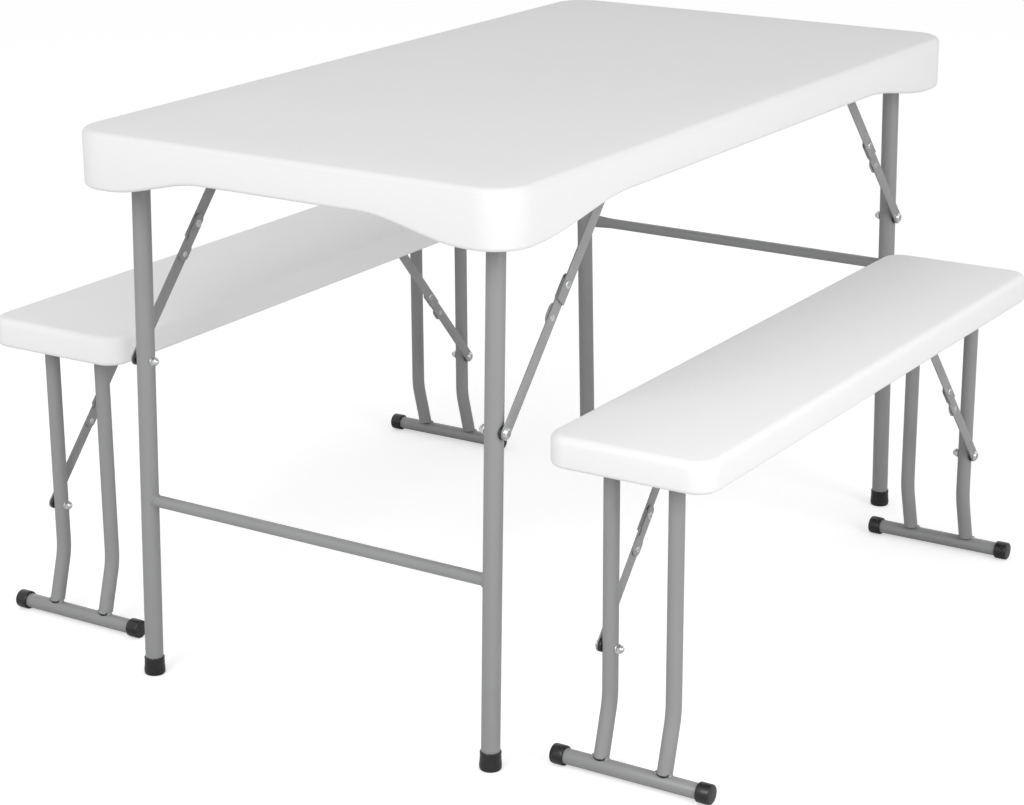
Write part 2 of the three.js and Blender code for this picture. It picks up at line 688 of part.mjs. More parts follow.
// Two bent legs welded to a foot tube, with the rod that they turn on; the rod is the origin.
function benchLegs(out, side, layers) {
  const half = BENCH_LEG_MIDDLE;
  const footDepth = BENCH_PIVOT_HEIGHT - FOOT_TUBE_HEIGHT;
  const rodEnd = half + layers.carrier + RAIL_SHEET + GAP;
  const footY = out * BEND_OFFSET;
  const section = new THREE.Shape().absarc(0, 0, BENCH_LEG_RADIUS, 0, 2 * Math.PI);
  const pieces = [
    crossBar(-rodEnd, rodEnd, BENCH_ROD_DIAMETER / 2, SMALL_SIDES),
    crossBar(-FOOT_TUBE_END, FOOT_TUBE_END, BENCH_LEG_RADIUS, BENCH_TUBE_SIDES, footY, -footDepth),
  ];
  for (const leg of [-1, 1]) {
    const bendTop = BEND_START - BENCH_PIVOT_HEIGHT;
    const extrudePath = new SweptLeg(leg * half, out, LEG_TOP_RISE, bendTop, -footDepth);
    const steps = BEND_STEPS + 1;
    const curveSegments = BENCH_TUBE_SIDES / 2;
    pieces.push(new THREE.ExtrudeGeometry(section, { steps, extrudePath, curveSegments }));
  }
  const middle = side * half;
  const hole = BOLT_DIAMETER / 2 + GAP;
  const reach = BENCH_LEG_DIAMETER;
  const boltHole = crossBar(middle - reach, middle + reach, hole, SMALL_SIDES, 0, -BENCH_BOLT_DROP);
  return cut(join(...pieces), boltHole);
}

// A plastic cap pushed over one end of a foot tube.
function footCap(side) {
  const bore = BENCH_LEG_RADIUS + GAP;
  const tubeEnd = FOOT_TUBE_END + GAP;
  const end = tubeEnd + CAP_WALL;
  const lip = end - CAP_LENGTH;
  const profile = [
    [0, tubeEnd],
    [bore, tubeEnd],
    [bore, lip],
    [CAP_RADIUS - CAP_WALL / 3, lip],
    [CAP_RADIUS, lip + CAP_WALL],
    [CAP_RADIUS, end - CAP_WALL],
    [CAP_RADIUS - CAP_WALL, end],
    [0, end],
  ];
  return solid(turned(profile, side));
}

function bench(sideName, x, y) {
  const whole = groupAt(`bench_${sideName}`, x, y, 0);
  whole.rotation.z = THREE.MathUtils.degToRad(BENCH_TURN_DEGREES);
  const layers = braceLayers(BENCH_LEG_RADIUS);
  const name = (words) => `bench_${sideName}_${words}`;
  whole.add(piece(name('seat'), benchSeat(), 'plastic'));
  for (const out of [-1, 1]) {
    const end = END_NAMES[out];
    const side = out;
    const pivot = new THREE.Vector2(out * BENCH_PIVOT_Y, BENCH_PIVOT_HEIGHT);
    const bolt = new THREE.Vector2(pivot.x, pivot.y - BENCH_BOLT_DROP);
    const points = { pivot, ...bracePoints(pivot, bolt, BENCH_BRACE_REACH, out) };
    whole.add(piece(name(`bracket_${end}`), seatBracket(out, side, layers, points), 'paint'));
    const legs = groupAt(`pivot_${name(`legs_${end}`)}`, 0, pivot.x, pivot.y);
    legs.add(piece(name(`legs_${end}`), benchLegs(out, side, layers), 'paint'));
    for (const capSide of [-1, 1]) {
      const cap = piece(name(`${end}_cap_${SIDE_NAMES[capSide]}`), footCap(capSide), 'rubber');
      cap.position.set(0, out * BEND_OFFSET, FOOT_TUBE_HEIGHT - BENCH_PIVOT_HEIGHT);
      legs.add(cap);
    }
    const middle = side * BENCH_LEG_MIDDLE;
    addBrace(
      name(end), whole, legs, pivot, points, layers, BENCH_BRACE_WIDTH, BENCH_LEG_RADIUS, side, middle,
    );
    whole.add(legs);
  }
  return whole;
}

// The set, with its origin on the floor under the middle of its overall box.
const set = new THREE.Group();
set.add(table());
set.add(bench('right', BENCH_RIGHT_X, BENCH_RIGHT_Y));
set.add(bench('left', BENCH_LEFT_X, BENCH_LEFT_Y));
const middle = new THREE.Box3().setFromObject(set, true).getCenter(new THREE.Vector3());
set.position.set(-middle.x, -middle.y, 0);

export default set;
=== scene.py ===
# %% [markdown]
# A white folding table and its two folding benches.
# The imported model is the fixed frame: it says how big every piece is and where it turns.
# This lesson dresses that frame: each cell models one kind of piece, or mixes one finish.

# %% Load the frame
import json
from math import atan2, cos, pi, radians, sin

import bmesh
import bpy
from mathutils import Matrix, Vector


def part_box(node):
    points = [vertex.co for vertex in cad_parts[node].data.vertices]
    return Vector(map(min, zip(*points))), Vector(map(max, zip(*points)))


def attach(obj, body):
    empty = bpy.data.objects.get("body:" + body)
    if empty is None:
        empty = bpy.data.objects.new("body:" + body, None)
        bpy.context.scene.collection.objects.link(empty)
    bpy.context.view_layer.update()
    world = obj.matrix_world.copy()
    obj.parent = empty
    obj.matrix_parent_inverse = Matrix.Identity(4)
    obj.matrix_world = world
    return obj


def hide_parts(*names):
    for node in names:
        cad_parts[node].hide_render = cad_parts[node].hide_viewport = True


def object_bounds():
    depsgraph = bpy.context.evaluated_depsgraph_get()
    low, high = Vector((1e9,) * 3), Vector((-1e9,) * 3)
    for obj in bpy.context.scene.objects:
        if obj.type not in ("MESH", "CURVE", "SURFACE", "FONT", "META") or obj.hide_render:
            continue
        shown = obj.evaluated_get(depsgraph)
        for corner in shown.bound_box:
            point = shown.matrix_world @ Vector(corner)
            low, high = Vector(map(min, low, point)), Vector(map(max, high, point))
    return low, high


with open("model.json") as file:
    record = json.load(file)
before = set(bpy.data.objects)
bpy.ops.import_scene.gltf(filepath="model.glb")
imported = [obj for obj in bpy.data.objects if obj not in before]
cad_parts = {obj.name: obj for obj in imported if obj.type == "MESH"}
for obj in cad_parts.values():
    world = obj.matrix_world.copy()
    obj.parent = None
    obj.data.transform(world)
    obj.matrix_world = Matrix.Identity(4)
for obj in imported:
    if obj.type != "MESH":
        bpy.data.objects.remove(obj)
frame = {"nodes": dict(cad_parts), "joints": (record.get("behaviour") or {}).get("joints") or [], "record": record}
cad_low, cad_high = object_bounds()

JOINTS = {joint["name"]: joint for joint in frame["joints"]}

# %% [markdown]
# The photograph was taken with a long lens from the table's near right corner, a little above it.
# Its place was found by matching the table's edges and feet, and is given here from the table's middle.
# A long focal length keeps the far legs nearly as tall as the near ones, as they are in the picture.

# %% Camera
PHOTO_WIDTH = 1024
FOCAL_PIXELS = 2565.2
SENSOR = 36.0
CAMERA_FROM_TABLE = Vector((1.8512, -2.9296, 1.4003))
CAMERA_AZIMUTH = radians(33.098)
CAMERA_ELEVATION = radians(18.017)
CAMERA_ROLL = radians(-0.28)
table_low, table_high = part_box("table_top")
TABLE_MIDDLE = Vector(((table_low.x + table_high.x) / 2, (table_low.y + table_high.y) / 2, 0.0))

bpy.ops.object.select_all(action="DESELECT")
bpy.ops.object.camera_add(location=TABLE_MIDDLE + CAMERA_FROM_TABLE)
camera = bpy.context.object
camera.data.sensor_width = SENSOR
camera.data.lens = FOCAL_PIXELS * SENSOR / PHOTO_WIDTH
turn = Matrix.Rotation(CAMERA_AZIMUTH, 4, "Z") @ Matrix.Rotation(pi / 2 - CAMERA_ELEVATION, 4, "X")
camera.rotation_euler = (turn @ Matrix.Rotation(CAMERA_ROLL, 4, "Z")).to_euler()
bpy.context.scene.camera = camera
print("camera lens", round(camera.data.lens, 1), "mm")

# %% [markdown]
# A white object on white needs light with a direction, or its edges disappear.
# A wide soft lamp stands in front, a second to the right of it, and an even white sky fills the shadows.
# Faces that look left get the sky alone, so they stay darker, as in the picture.
# The floor is plain and pale: it lifts itself to white for the camera and still takes the shadow.

# %% Light and floor
SKY_FILL = 0.64
FRONT_LAMP = 42.0
FRONT_BEARING, FRONT_HEIGHT = 2, 30
SIDE_LAMP = 43.5
SIDE_BEARING, SIDE_HEIGHT = 76, 20
LAMP_WIDTH = 1.8
LAMP_DISTANCE = 3.6
LAMP_AIM = Vector((0.0, 0.0, 0.5))
FLOOR_SIZE = 40.0
FLOOR_DROP = 0.0005
FLOOR_TONE = 0.75
FLOOR_LIFT = 0.49


def soft_lamp(name, bearing, height, power):
    """A square lamp aimed at the set from a bearing off the front and a height, both in degrees."""
    around, above = radians(bearing), radians(height)
    away = Vector((sin(around) * cos(above), -cos(around) * cos(above), sin(above)))
    bpy.ops.object.light_add(type="AREA", location=LAMP_AIM + LAMP_DISTANCE * away)
    lamp = bpy.context.object
    lamp.name = name
    lamp.data.shape = "SQUARE"
    lamp.data.size = LAMP_WIDTH
    lamp.data.energy = power
    lamp.rotation_euler = away.to_track_quat("Z", "Y").to_euler()
    return lamp


soft_lamp("front_lamp", FRONT_BEARING, FRONT_HEIGHT, FRONT_LAMP)
soft_lamp("side_lamp", SIDE_BEARING, SIDE_HEIGHT, SIDE_LAMP)

world = bpy.data.worlds.new("studio")
bpy.context.scene.world = world
world.use_nodes = True
sky = world.node_tree
sky.nodes.clear()
seen = sky.nodes.new("ShaderNodeLightPath")
direct = sky.nodes.new("ShaderNodeMath")
direct.operation = "MAXIMUM"
shiny = sky.nodes.new("ShaderNodeMath")
shiny.operation = "MAXIMUM"
fill = sky.nodes.new("ShaderNodeBackground")
fill.inputs["Color"].default_value = (1, 1, 1, 1)
fill.inputs["Strength"].default_value = SKY_FILL
white = sky.nodes.new("ShaderNodeBackground")
white.inputs["Color"].default_value = (1, 1, 1, 1)
blend = sky.nodes.new("ShaderNodeMixShader")
sky_out = sky.nodes.new("ShaderNodeOutputWorld")
sky.links.new(seen.outputs["Is Camera Ray"], direct.inputs[0])
sky.links.new(seen.outputs["Is Transmission Ray"], direct.inputs[1])
sky.links.new(direct.outputs[0], shiny.inputs[0])
sky.links.new(seen.outputs["Is Glossy Ray"], shiny.inputs[1])
sky.links.new(shiny.outputs[0], blend.inputs["Fac"])
sky.links.new(fill.outputs[0], blend.inputs[1])
sky.links.new(white.outputs[0], blend.inputs[2])
sky.links.new(blend.outputs[0], sky_out.inputs["Surface"])

bpy.ops.mesh.primitive_plane_add(size=FLOOR_SIZE, location=(0, 0, cad_low[2] - FLOOR_DROP))
floor = bpy.context.object
floor.name = "floor"
paper = bpy.data.materials.new("pale_floor")
paper.use_nodes = True
paper_tree = paper.node_tree
paper_shader = paper_tree.nodes["Principled BSDF"]
paper_shader.inputs["Base Color"].default_value = (FLOOR_TONE, FLOOR_TONE, FLOOR_TONE, 1)
paper_shader.inputs["Roughness"].default_value = 1.0
paper_shader.inputs["Specular IOR Level"].default_value = 0.0
paper_shader.inputs["Emission Color"].default_value = (1, 1, 1, 1)
paper_path = paper_tree.nodes.new("ShaderNodeLightPath")
paper_lift = paper_tree.nodes.new("ShaderNodeMath")
paper_lift.operation = "MULTIPLY"
paper_lift.inputs[1].default_value = FLOOR_LIFT
paper_tree.links.new(paper_path.outputs["Is Camera Ray"], paper_lift.inputs[0])
paper_tree.links.new(paper_lift.outputs[0], paper_shader.inputs["Emission Strength"])
floor.data.materials.append(paper)
bpy.context.scene.view_settings.view_transform = "Standard"
print("lamps at", SIDE_BEARING - FRONT_BEARING, "degrees, floor at", round(floor.location.z, 4))

# %% [markdown]
# Two effects are shared by several finishes, so each is a node group with its own inputs.
# Pebble grain is the fine skin of a moulded top or of powder coat, as a height for bump.
# Blotches are slow changes in tone and gloss, which keep a wide plain surface from looking painted.

# %% Shared effects
WAVE_SCALE = 14.0
CLOUD_DETAIL = 6.0
CLOUD_ROUGHNESS = 0.6
CLOUD_LOW, CLOUD_HIGH = 0.3, 0.7


def effect_group(name, inputs, outputs):
    """A shader node group with named value inputs and outputs."""
    group = bpy.data.node_groups.new(name, "ShaderNodeTree")
    for label, default in inputs:
        socket = group.interface.new_socket(label, in_out="INPUT", socket_type="NodeSocketFloat")
        socket.default_value = default
    for label in outputs:
        group.interface.new_socket(label, in_out="OUTPUT", socket_type="NodeSocketFloat")
    return group, group.nodes.new("NodeGroupInput"), group.nodes.new("NodeGroupOutput")


def make_pebble_grain():
    """Rounded cells on slow waves, as a height."""
    group, given, result = effect_group(
        "pebble_grain", [("Scale", 900.0), ("Waviness", 0.3)], ["Height"])
    place = group.nodes.new("ShaderNodeTexCoord")
    cells = group.nodes.new("ShaderNodeTexVoronoi")
    cells.feature = "SMOOTH_F1"
    waves = group.nodes.new("ShaderNodeTexNoise")
    waves.inputs["Scale"].default_value = WAVE_SCALE
    weigh = group.nodes.new("ShaderNodeMath")
    weigh.operation = "MULTIPLY_ADD"
    group.links.new(place.outputs["Object"], cells.inputs["Vector"])
    group.links.new(place.outputs["Object"], waves.inputs["Vector"])
    group.links.new(given.outputs["Scale"], cells.inputs["Scale"])
    group.links.new(waves.outputs["Fac"], weigh.inputs[0])
    group.links.new(given.outputs["Waviness"], weigh.inputs[1])
    group.links.new(cells.outputs["Distance"], weigh.inputs[2])
    group.links.new(weigh.outputs[0], result.inputs["Height"])
    return group


def make_blotches():
    """Soft clouds between a low and a high value."""
    group, given, result = effect_group(
        "blotches", [("Scale", 6.0), ("Low", 0.0), ("High", 1.0)], ["Value"])
    place = group.nodes.new("ShaderNodeTexCoord")
    clouds = group.nodes.new("ShaderNodeTexNoise")
    clouds.inputs["Detail"].default_value = CLOUD_DETAIL
    clouds.inputs["Roughness"].default_value = CLOUD_ROUGHNESS
    spread = group.nodes.new("ShaderNodeMapRange")
    spread.inputs["From Min"].default_value = CLOUD_LOW
    spread.inputs["From Max"].default_value = CLOUD_HIGH
    group.links.new(place.outputs["Object"], clouds.inputs["Vector"])
    group.links.new(given.outputs["Scale"], clouds.inputs["Scale"])
    group.links.new(clouds.outputs["Fac"], spread.inputs["Value"])
    group.links.new(given.outputs["Low"], spread.inputs["To Min"])
    group.links.new(given.outputs["High"], spread.inputs["To Max"])
    group.links.new(spread.outputs["Result"], result.inputs["Value"])
    return group


PEBBLE_GRAIN = make_pebble_grain()
BLOTCHES = make_blotches()
print("effects", PEBBLE_GRAIN.name, BLOTCHES.name)

# %% [markdown]
# Every finish is one Principled shader fed by those effects.
# Two close tones are mixed by blotches, the gloss wanders between two values, and grain gives the bump.
# Whatever is the same all over, such as metalness, is set on the shader itself.
# The table's deck carries painted shade: its colour is darkened from the rim inwards,
# so the top reads a little darker than the skirt.

# %% Finishes
SHEEN_FINENESS = 3.7
PLASTIC_GLOSS = (0.62, 0.7)
PLASTIC_GRAIN = (520.0, 0.22, 0.0006)
PLASTIC_CLOUDS = 3.0
PLASTIC_SPECULAR = 0.15
# Painted shade on the table's deck: its colour is darkened by this tone from the rim inwards.
DECK_SHADE_START, DECK_SHADE_END = 0.010, 0.0005
DECK_PAINTED_SHADE = 0.93


def finish(name, dark, light, gloss, grain, blotch_scale, metal=0.0, specular=0.5):
    """A material from two tones, a pair of roughness limits and a grain of (scale, strength, depth)."""
    material = bpy.data.materials.new(name)
    material.use_nodes = True
    tree = material.node_tree
    shader = tree.nodes["Principled BSDF"]
    shader.inputs["Metallic"].default_value = metal
    shader.inputs["Specular IOR Level"].default_value = specular
    tone = tree.nodes.new("ShaderNodeGroup")
    tone.node_tree = BLOTCHES
    tone.inputs["Scale"].default_value = blotch_scale
    mixed = tree.nodes.new("ShaderNodeMix")
    mixed.data_type = "RGBA"
    mixed.inputs["A"].default_value = (*dark, 1)
    mixed.inputs["B"].default_value = (*light, 1)
    tree.links.new(tone.outputs["Value"], mixed.inputs["Factor"])
    tree.links.new(mixed.outputs["Result"], shader.inputs["Base Color"])
    sheen = tree.nodes.new("ShaderNodeGroup")
    sheen.node_tree = BLOTCHES
    sheen.inputs["Scale"].default_value = blotch_scale * SHEEN_FINENESS
    sheen.inputs["Low"].default_value = gloss[0]
    sheen.inputs["High"].default_value = gloss[1]
    tree.links.new(sheen.outputs["Value"], shader.inputs["Roughness"])
    skin = tree.nodes.new("ShaderNodeGroup")
    skin.node_tree = PEBBLE_GRAIN
    skin.inputs["Scale"].default_value = grain[0]
    bump = tree.nodes.new("ShaderNodeBump")
    bump.inputs["Strength"].default_value = grain[1]
    bump.inputs["Distance"].default_value = grain[2]
    tree.links.new(skin.outputs["Height"], bump.inputs["Height"])
    tree.links.new(bump.outputs["Normal"], shader.inputs["Normal"])
    return material


def paint_deck_shade(material, low, high, tone):
    """Paints shade into a finish: darkens its colour by a tone from one height to another."""
    tree = material.node_tree
    colour = tree.nodes["Principled BSDF"].inputs["Base Color"]
    plain = colour.links[0].from_socket
    place = tree.nodes.new("ShaderNodeTexCoord")
    split = tree.nodes.new("ShaderNodeSeparateXYZ")
    deck = tree.nodes.new("ShaderNodeMapRange")
    deck.inputs["From Min"].default_value = low
    deck.inputs["From Max"].default_value = high
    painted_shade = tree.nodes.new("ShaderNodeMix")
    painted_shade.data_type = "RGBA"
    painted_shade.blend_type = "MULTIPLY"
    painted_shade.inputs["B"].default_value = (tone, tone, tone, 1)
    tree.links.new(place.outputs["Object"], split.inputs[0])
    tree.links.new(split.outputs["Z"], deck.inputs["Value"])
    tree.links.new(deck.outputs["Result"], painted_shade.inputs["Factor"])
    tree.links.new(plain, painted_shade.inputs["A"])
    tree.links.new(painted_shade.outputs["Result"], colour)


WHITE_PLASTIC = finish(
    "white_moulded_plastic", (0.827, 0.827, 0.825), (0.84, 0.84, 0.84), PLASTIC_GLOSS,
    PLASTIC_GRAIN, PLASTIC_CLOUDS, specular=PLASTIC_SPECULAR)
# Painted light: the seats are the same plastic as the table, given a lighter colour so that their tops read
# brighter.
PAINTED_LIGHT_SEAT_PLASTIC = finish(
    "white_seat_plastic_painted_lighter", (0.864, 0.864, 0.862), (0.877, 0.877, 0.877), PLASTIC_GLOSS,
    PLASTIC_GRAIN, PLASTIC_CLOUDS, specular=PLASTIC_SPECULAR)
# Painted shade: the deck's colour is made darker from the rim inwards, so the top reads darker than the sides.
paint_deck_shade(
    WHITE_PLASTIC, table_high.z - DECK_SHADE_START, table_high.z - DECK_SHADE_END, DECK_PAINTED_SHADE)
GREY_COAT = finish(
    "grey_powder_coat", (0.281, 0.282, 0.284), (0.299, 0.3, 0.302), (0.28, 0.36),
    (1100.0, 0.12, 0.0003), 9.0)
STRAP_COAT = finish(
    "strap_powder_coat", (0.27, 0.271, 0.273), (0.315, 0.316, 0.318), (0.26, 0.42),
    (1300.0, 0.16, 0.0003), 22.0)
BRIGHT_ZINC = finish(
    "bright_zinc", (0.6, 0.605, 0.61), (0.8, 0.805, 0.81), (0.16, 0.3),
    (900.0, 0.1, 0.0002), 120.0, metal=1.0)
BLACK_RUBBER = finish(
    "black_rubber", (0.006, 0.006, 0.0065), (0.016, 0.016, 0.0165), (0.18, 0.34),
    (1500.0, 0.2, 0.0002), 40.0)
FINISH_OF_SLOT = {
    "plastic": WHITE_PLASTIC, "paint": GREY_COAT, "strap": STRAP_COAT,
    "zinc": BRIGHT_ZINC, "rubber": BLACK_RUBBER,
}
print("finishes", [material.name for material in FINISH_OF_SLOT.values()], PAINTED_LIGHT_SEAT_PLASTIC.name)

# %% [markdown]
# A few small helpers keep the modelling cells short.
# One selects corners, edges or faces in edit mode by a test on their place,
# as a hand would with a box select.
# One settles a finished piece: it is moved to its set's place, given its finish, and tied to its body.
# Places are compared with a touch of a thousandth of a millimetre, because no sum of lengths is exact.

# %% Modelling helpers
SMOOTH_ANGLE = radians(32)
TOUCH = 1e-6
NEARBY = 1e-5
BAR_EDGE_STEPS = 3
TUBE_RESOLUTION = 8
GAP = 0.0003


def edit(piece):
    """Goes into edit mode on one piece."""
    bpy.ops.object.select_all(action="DESELECT")
    piece.select_set(True)
    bpy.context.view_layer.objects.active = piece
    bpy.ops.object.mode_set(mode="EDIT")


def leave():
    """Goes back to object mode."""
    bpy.ops.object.mode_set(mode="OBJECT")


def centre(item):
    """The middle of a corner, edge or face."""
    if isinstance(item, bmesh.types.BMVert):
        return item.co.copy()
    return sum((corner.co for corner in item.verts), Vector()) / len(item.verts)


def choose(piece, kind, test):
    """Selects the corners, edges or faces that pass a test, and returns how many there are."""
    bpy.ops.mesh.select_mode(type=kind)
    bpy.ops.mesh.select_all(action="DESELECT")
    shape = bmesh.from_edit_mesh(piece.data)
    items = {"VERT": shape.verts, "EDGE": shape.edges, "FACE": shape.faces}[kind]
    chosen = [item for item in items if test(item)]
    for item in chosen:
        item.select_set(True)
    shape.select_flush_mode()
    bmesh.update_edit_mesh(piece.data)
    return len(chosen)


def upright(edge):
    """Whether an edge stands upright."""
    a, b = edge.verts
    return abs(a.co.x - b.co.x) < TOUCH and abs(a.co.y - b.co.y) < TOUCH


def level_at(height):
    """A test for edges that lie level at a height."""
    return lambda edge: all(abs(corner.co.z - height) < TOUCH for corner in edge.verts)


def eased(share):
    """A share from 0 to 1 that starts and ends gently."""
    return share * share * (3 - 2 * share)


def box_at(low, high):
    """A box primitive between two corners, in edit mode, with its size in its mesh."""
    low, high = Vector(low), Vector(high)
    bpy.ops.object.select_all(action="DESELECT")
    bpy.ops.mesh.primitive_cube_add(size=1, location=(low + high) / 2, scale=high - low)
    bpy.ops.object.transform_apply(location=True, rotation=True, scale=True)
    piece = bpy.context.object
    edit(piece)
    return piece


def round_bar(start, end, radius, sides, rounding=0.0):
    """A round bar between two points, with its end edges softened."""
    start, end = Vector(start), Vector(end)
    along = end - start
    bpy.ops.object.select_all(action="DESELECT")
    bpy.ops.mesh.primitive_cylinder_add(
        vertices=sides, radius=radius, depth=along.length, location=(start + end) / 2,
        rotation=along.to_track_quat("Z", "Y").to_euler())
    bpy.ops.object.transform_apply(location=True, rotation=True, scale=True)
    piece = bpy.context.object
    if rounding > 0:
        edit(piece)
        way = along.normalized()
        choose(piece, "EDGE", lambda e: abs((e.verts[0].co - e.verts[1].co).dot(way)) < TOUCH)
        bpy.ops.mesh.bevel(offset=rounding, segments=BAR_EDGE_STEPS, affect="EDGES")
        leave()
    return piece


def bent_tube(points, radius):
    """A tube along a smooth line, from a curve that is made a mesh."""
    bpy.ops.object.select_all(action="DESELECT")
    bpy.ops.curve.primitive_nurbs_path_add(location=(0, 0, 0))
    tube = bpy.context.object
    tube.data.splines.clear()
    line = tube.data.splines.new("POLY")
    line.points.add(len(points) - 1)
    for spot, point in zip(line.points, points):
        spot.co = (*point, 1)
    tube.data.dimensions = "3D"
    tube.data.bevel_depth = radius
    tube.data.bevel_resolution = TUBE_RESOLUTION
    tube.data.use_fill_caps = True
    bpy.ops.object.convert(target="MESH")
    return bpy.context.object


def joined(*pieces):
    """Several pieces joined into the first."""
    bpy.ops.object.select_all(action="DESELECT")
    for piece in pieces:
        piece.select_set(True)
    bpy.context.view_layer.objects.active = pieces[0]
    if len(pieces) > 1:
        bpy.ops.object.join()
    return bpy.context.object


def apply_modifiers(piece):
    """Applies all the modifiers of a piece, in their order."""
    bpy.ops.object.select_all(action="DESELECT")
    piece.select_set(True)
    bpy.context.view_layer.objects.active = piece
    for modifier in list(piece.modifiers):
        bpy.ops.object.modifier_apply(modifier=modifier.name)


def settle(piece, name, body, slot, place, replaced=(), material=None, recalculate=True):
    """Puts a finished piece in its set's place, with its finish, on its body."""
    piece.name = name
    piece.data.name = name
    if recalculate:
        edit(piece)
        bpy.ops.mesh.select_all(action="SELECT")
        bpy.ops.mesh.remove_doubles(threshold=TOUCH)
        bpy.ops.mesh.normals_make_consistent(inside=False)
        leave()
    piece.data.transform(place)
    bpy.ops.object.select_all(action="DESELECT")
    piece.select_set(True)
    bpy.context.view_layer.objects.active = piece
    bpy.ops.object.shade_smooth_by_angle(angle=SMOOTH_ANGLE)
    piece.data.materials.clear()
    piece.data.materials.append(material or FINISH_OF_SLOT[slot])
    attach(piece, body)
    if replaced:
        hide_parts(*replaced)
    return piece


print("halfway eased", eased(0.5))

# %% [markdown]
# The table and each bench are made in their own upright frames, with the middle of the floor as origin.
# A joint's pivot is brought into that frame, so that a piece turns where its node does.

# %% Places
TABLE_PLACE = Matrix.Translation(TABLE_MIDDLE)


def bench_place(name):
    """The place and turn of a bench on the floor."""
    low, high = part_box(f"{name}_seat")
    axis = JOINTS[f"{name}_near_fold"]["axis"]
    middle = (low + high) / 2
    turn = Matrix.Rotation(atan2(axis[1], axis[0]), 4, "Z")
    return Matrix.Translation((middle.x, middle.y, 0)) @ turn


BENCH_PLACES = {name: bench_place(name) for name in ("bench_right", "bench_left")}


def pivot(joint, place):
    """A joint's pivot in the frame of its set."""
    return place.inverted() @ Vector(JOINTS[joint]["pos_m"])


print("table pivot", [round(x, 4) for x in pivot("table_near_fold", TABLE_PLACE)])

# %% [markdown]
# The top is blow-moulded: a flat deck whose rim turns down into a skirt,
# deeper at the corners where the legs are.
# It could be sculpted, but a maker would start from its block: round the corners, round the rim,
# open the bottom, and lift the skirt's foot into arches.
# A wall thickness then makes it a real shell, and both edges of its foot are rounded.

# %% Table top
TOP_CORNER = 0.050
TOP_EDGE = 0.008
SKIRT_WALL = 0.012
ARCH_RISE = 0.0245
CORNER_TAB = 0.062
END_SWEEP = 0.150
SIDE_SWEEP = 0.210
ARCH_CUTS = 14
FOOT_ROUND = 0.0055
CORNER_STEPS = 12
EDGE_STEPS = 6
FOOT_STEPS = 4
FACING_DOWN = -0.9
FACING_OUT = 0.3
half_width = (table_high.x - table_low.x) / 2
half_length = (table_high.y - table_low.y) / 2
skirt_foot, top_height = table_low.z, table_high.z


def arch_cut(cut):
    """Where a cut of the arch stands across and along the table, and how far its foot is lifted."""
    share = cut / ARCH_CUTS
    across = half_width - CORNER_TAB - END_SWEEP * share
    along = half_length - CORNER_TAB - SIDE_SWEEP * share
    return across, along, ARCH_RISE * eased(share)


def foot_edge(edge):
    """Whether an edge lies between the skirt's foot and one of its walls."""
    tilts = sorted(face.normal.z for face in edge.link_faces)
    return len(tilts) == 2 and tilts[0] < FACING_DOWN and abs(tilts[1]) < FACING_OUT


top = box_at((-half_width, -half_length, skirt_foot), (half_width, half_length, top_height))
choose(top, "EDGE", upright)
bpy.ops.mesh.bevel(offset=TOP_CORNER, segments=CORNER_STEPS, affect="EDGES")
choose(top, "FACE", lambda f: f.normal.z < FACING_DOWN)
bpy.ops.mesh.delete(type="FACE")
choose(top, "EDGE", level_at(top_height))
bpy.ops.mesh.bevel(offset=TOP_EDGE, segments=EDGE_STEPS, affect="EDGES")
for cut in range(ARCH_CUTS + 1):
    across, along = arch_cut(cut)[:2]
    for side in (-1, 1):
        for spot, way in (((side * across, 0, 0), (1, 0, 0)), ((0, side * along, 0), (0, 1, 0))):
            bpy.ops.mesh.select_all(action="SELECT")
            bpy.ops.mesh.bisect(plane_co=spot, plane_no=way)
for cut in range(1, ARCH_CUTS + 1):
    across, along, rise = arch_cut(cut)
    choose(top, "VERT", lambda v: abs(v.co.z - skirt_foot) < TOUCH and (
        abs(abs(v.co.x) - across) < NEARBY or abs(abs(v.co.y) - along) < NEARBY))
    bpy.ops.transform.translate(value=(0, 0, rise))
leave()
wall = top.modifiers.new("wall", "SOLIDIFY")
wall.thickness = SKIRT_WALL
wall.offset = -1
wall.use_even_offset = True
apply_modifiers(top)
edit(top)
choose(top, "EDGE", foot_edge)
bpy.ops.mesh.bevel(offset=FOOT_ROUND, segments=FOOT_STEPS, affect="EDGES", clamp_overlap=False)
leave()
settle(top, "table_top_shell", "table", "plastic", TABLE_PLACE, ["table_top"], recalculate=False)
print("table top", len(top.data.polygons), "faces")

# %% [markdown]
# Under the deck a blow-moulded top has a second wall, pressed up to the first in rows of shallow pockets.
# A grid gives the rows, each cell is inset and pushed up, and the edges are softened.

# %% Table underside
UNDERSIDE_THICKNESS = 0.008
POCKET_DEPTH = 0.005
POCKET_RIB = 0.013
RIB_ROUND = 0.002
RIB_STEPS = 2
RIB_ANGLE = radians(18)
TABLE_POCKETS = (5, 9)
PANEL_SIDE_GAP = 0.001
PANEL_END_GAP = 0.03
rail_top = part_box("side_rail_left")[1].z


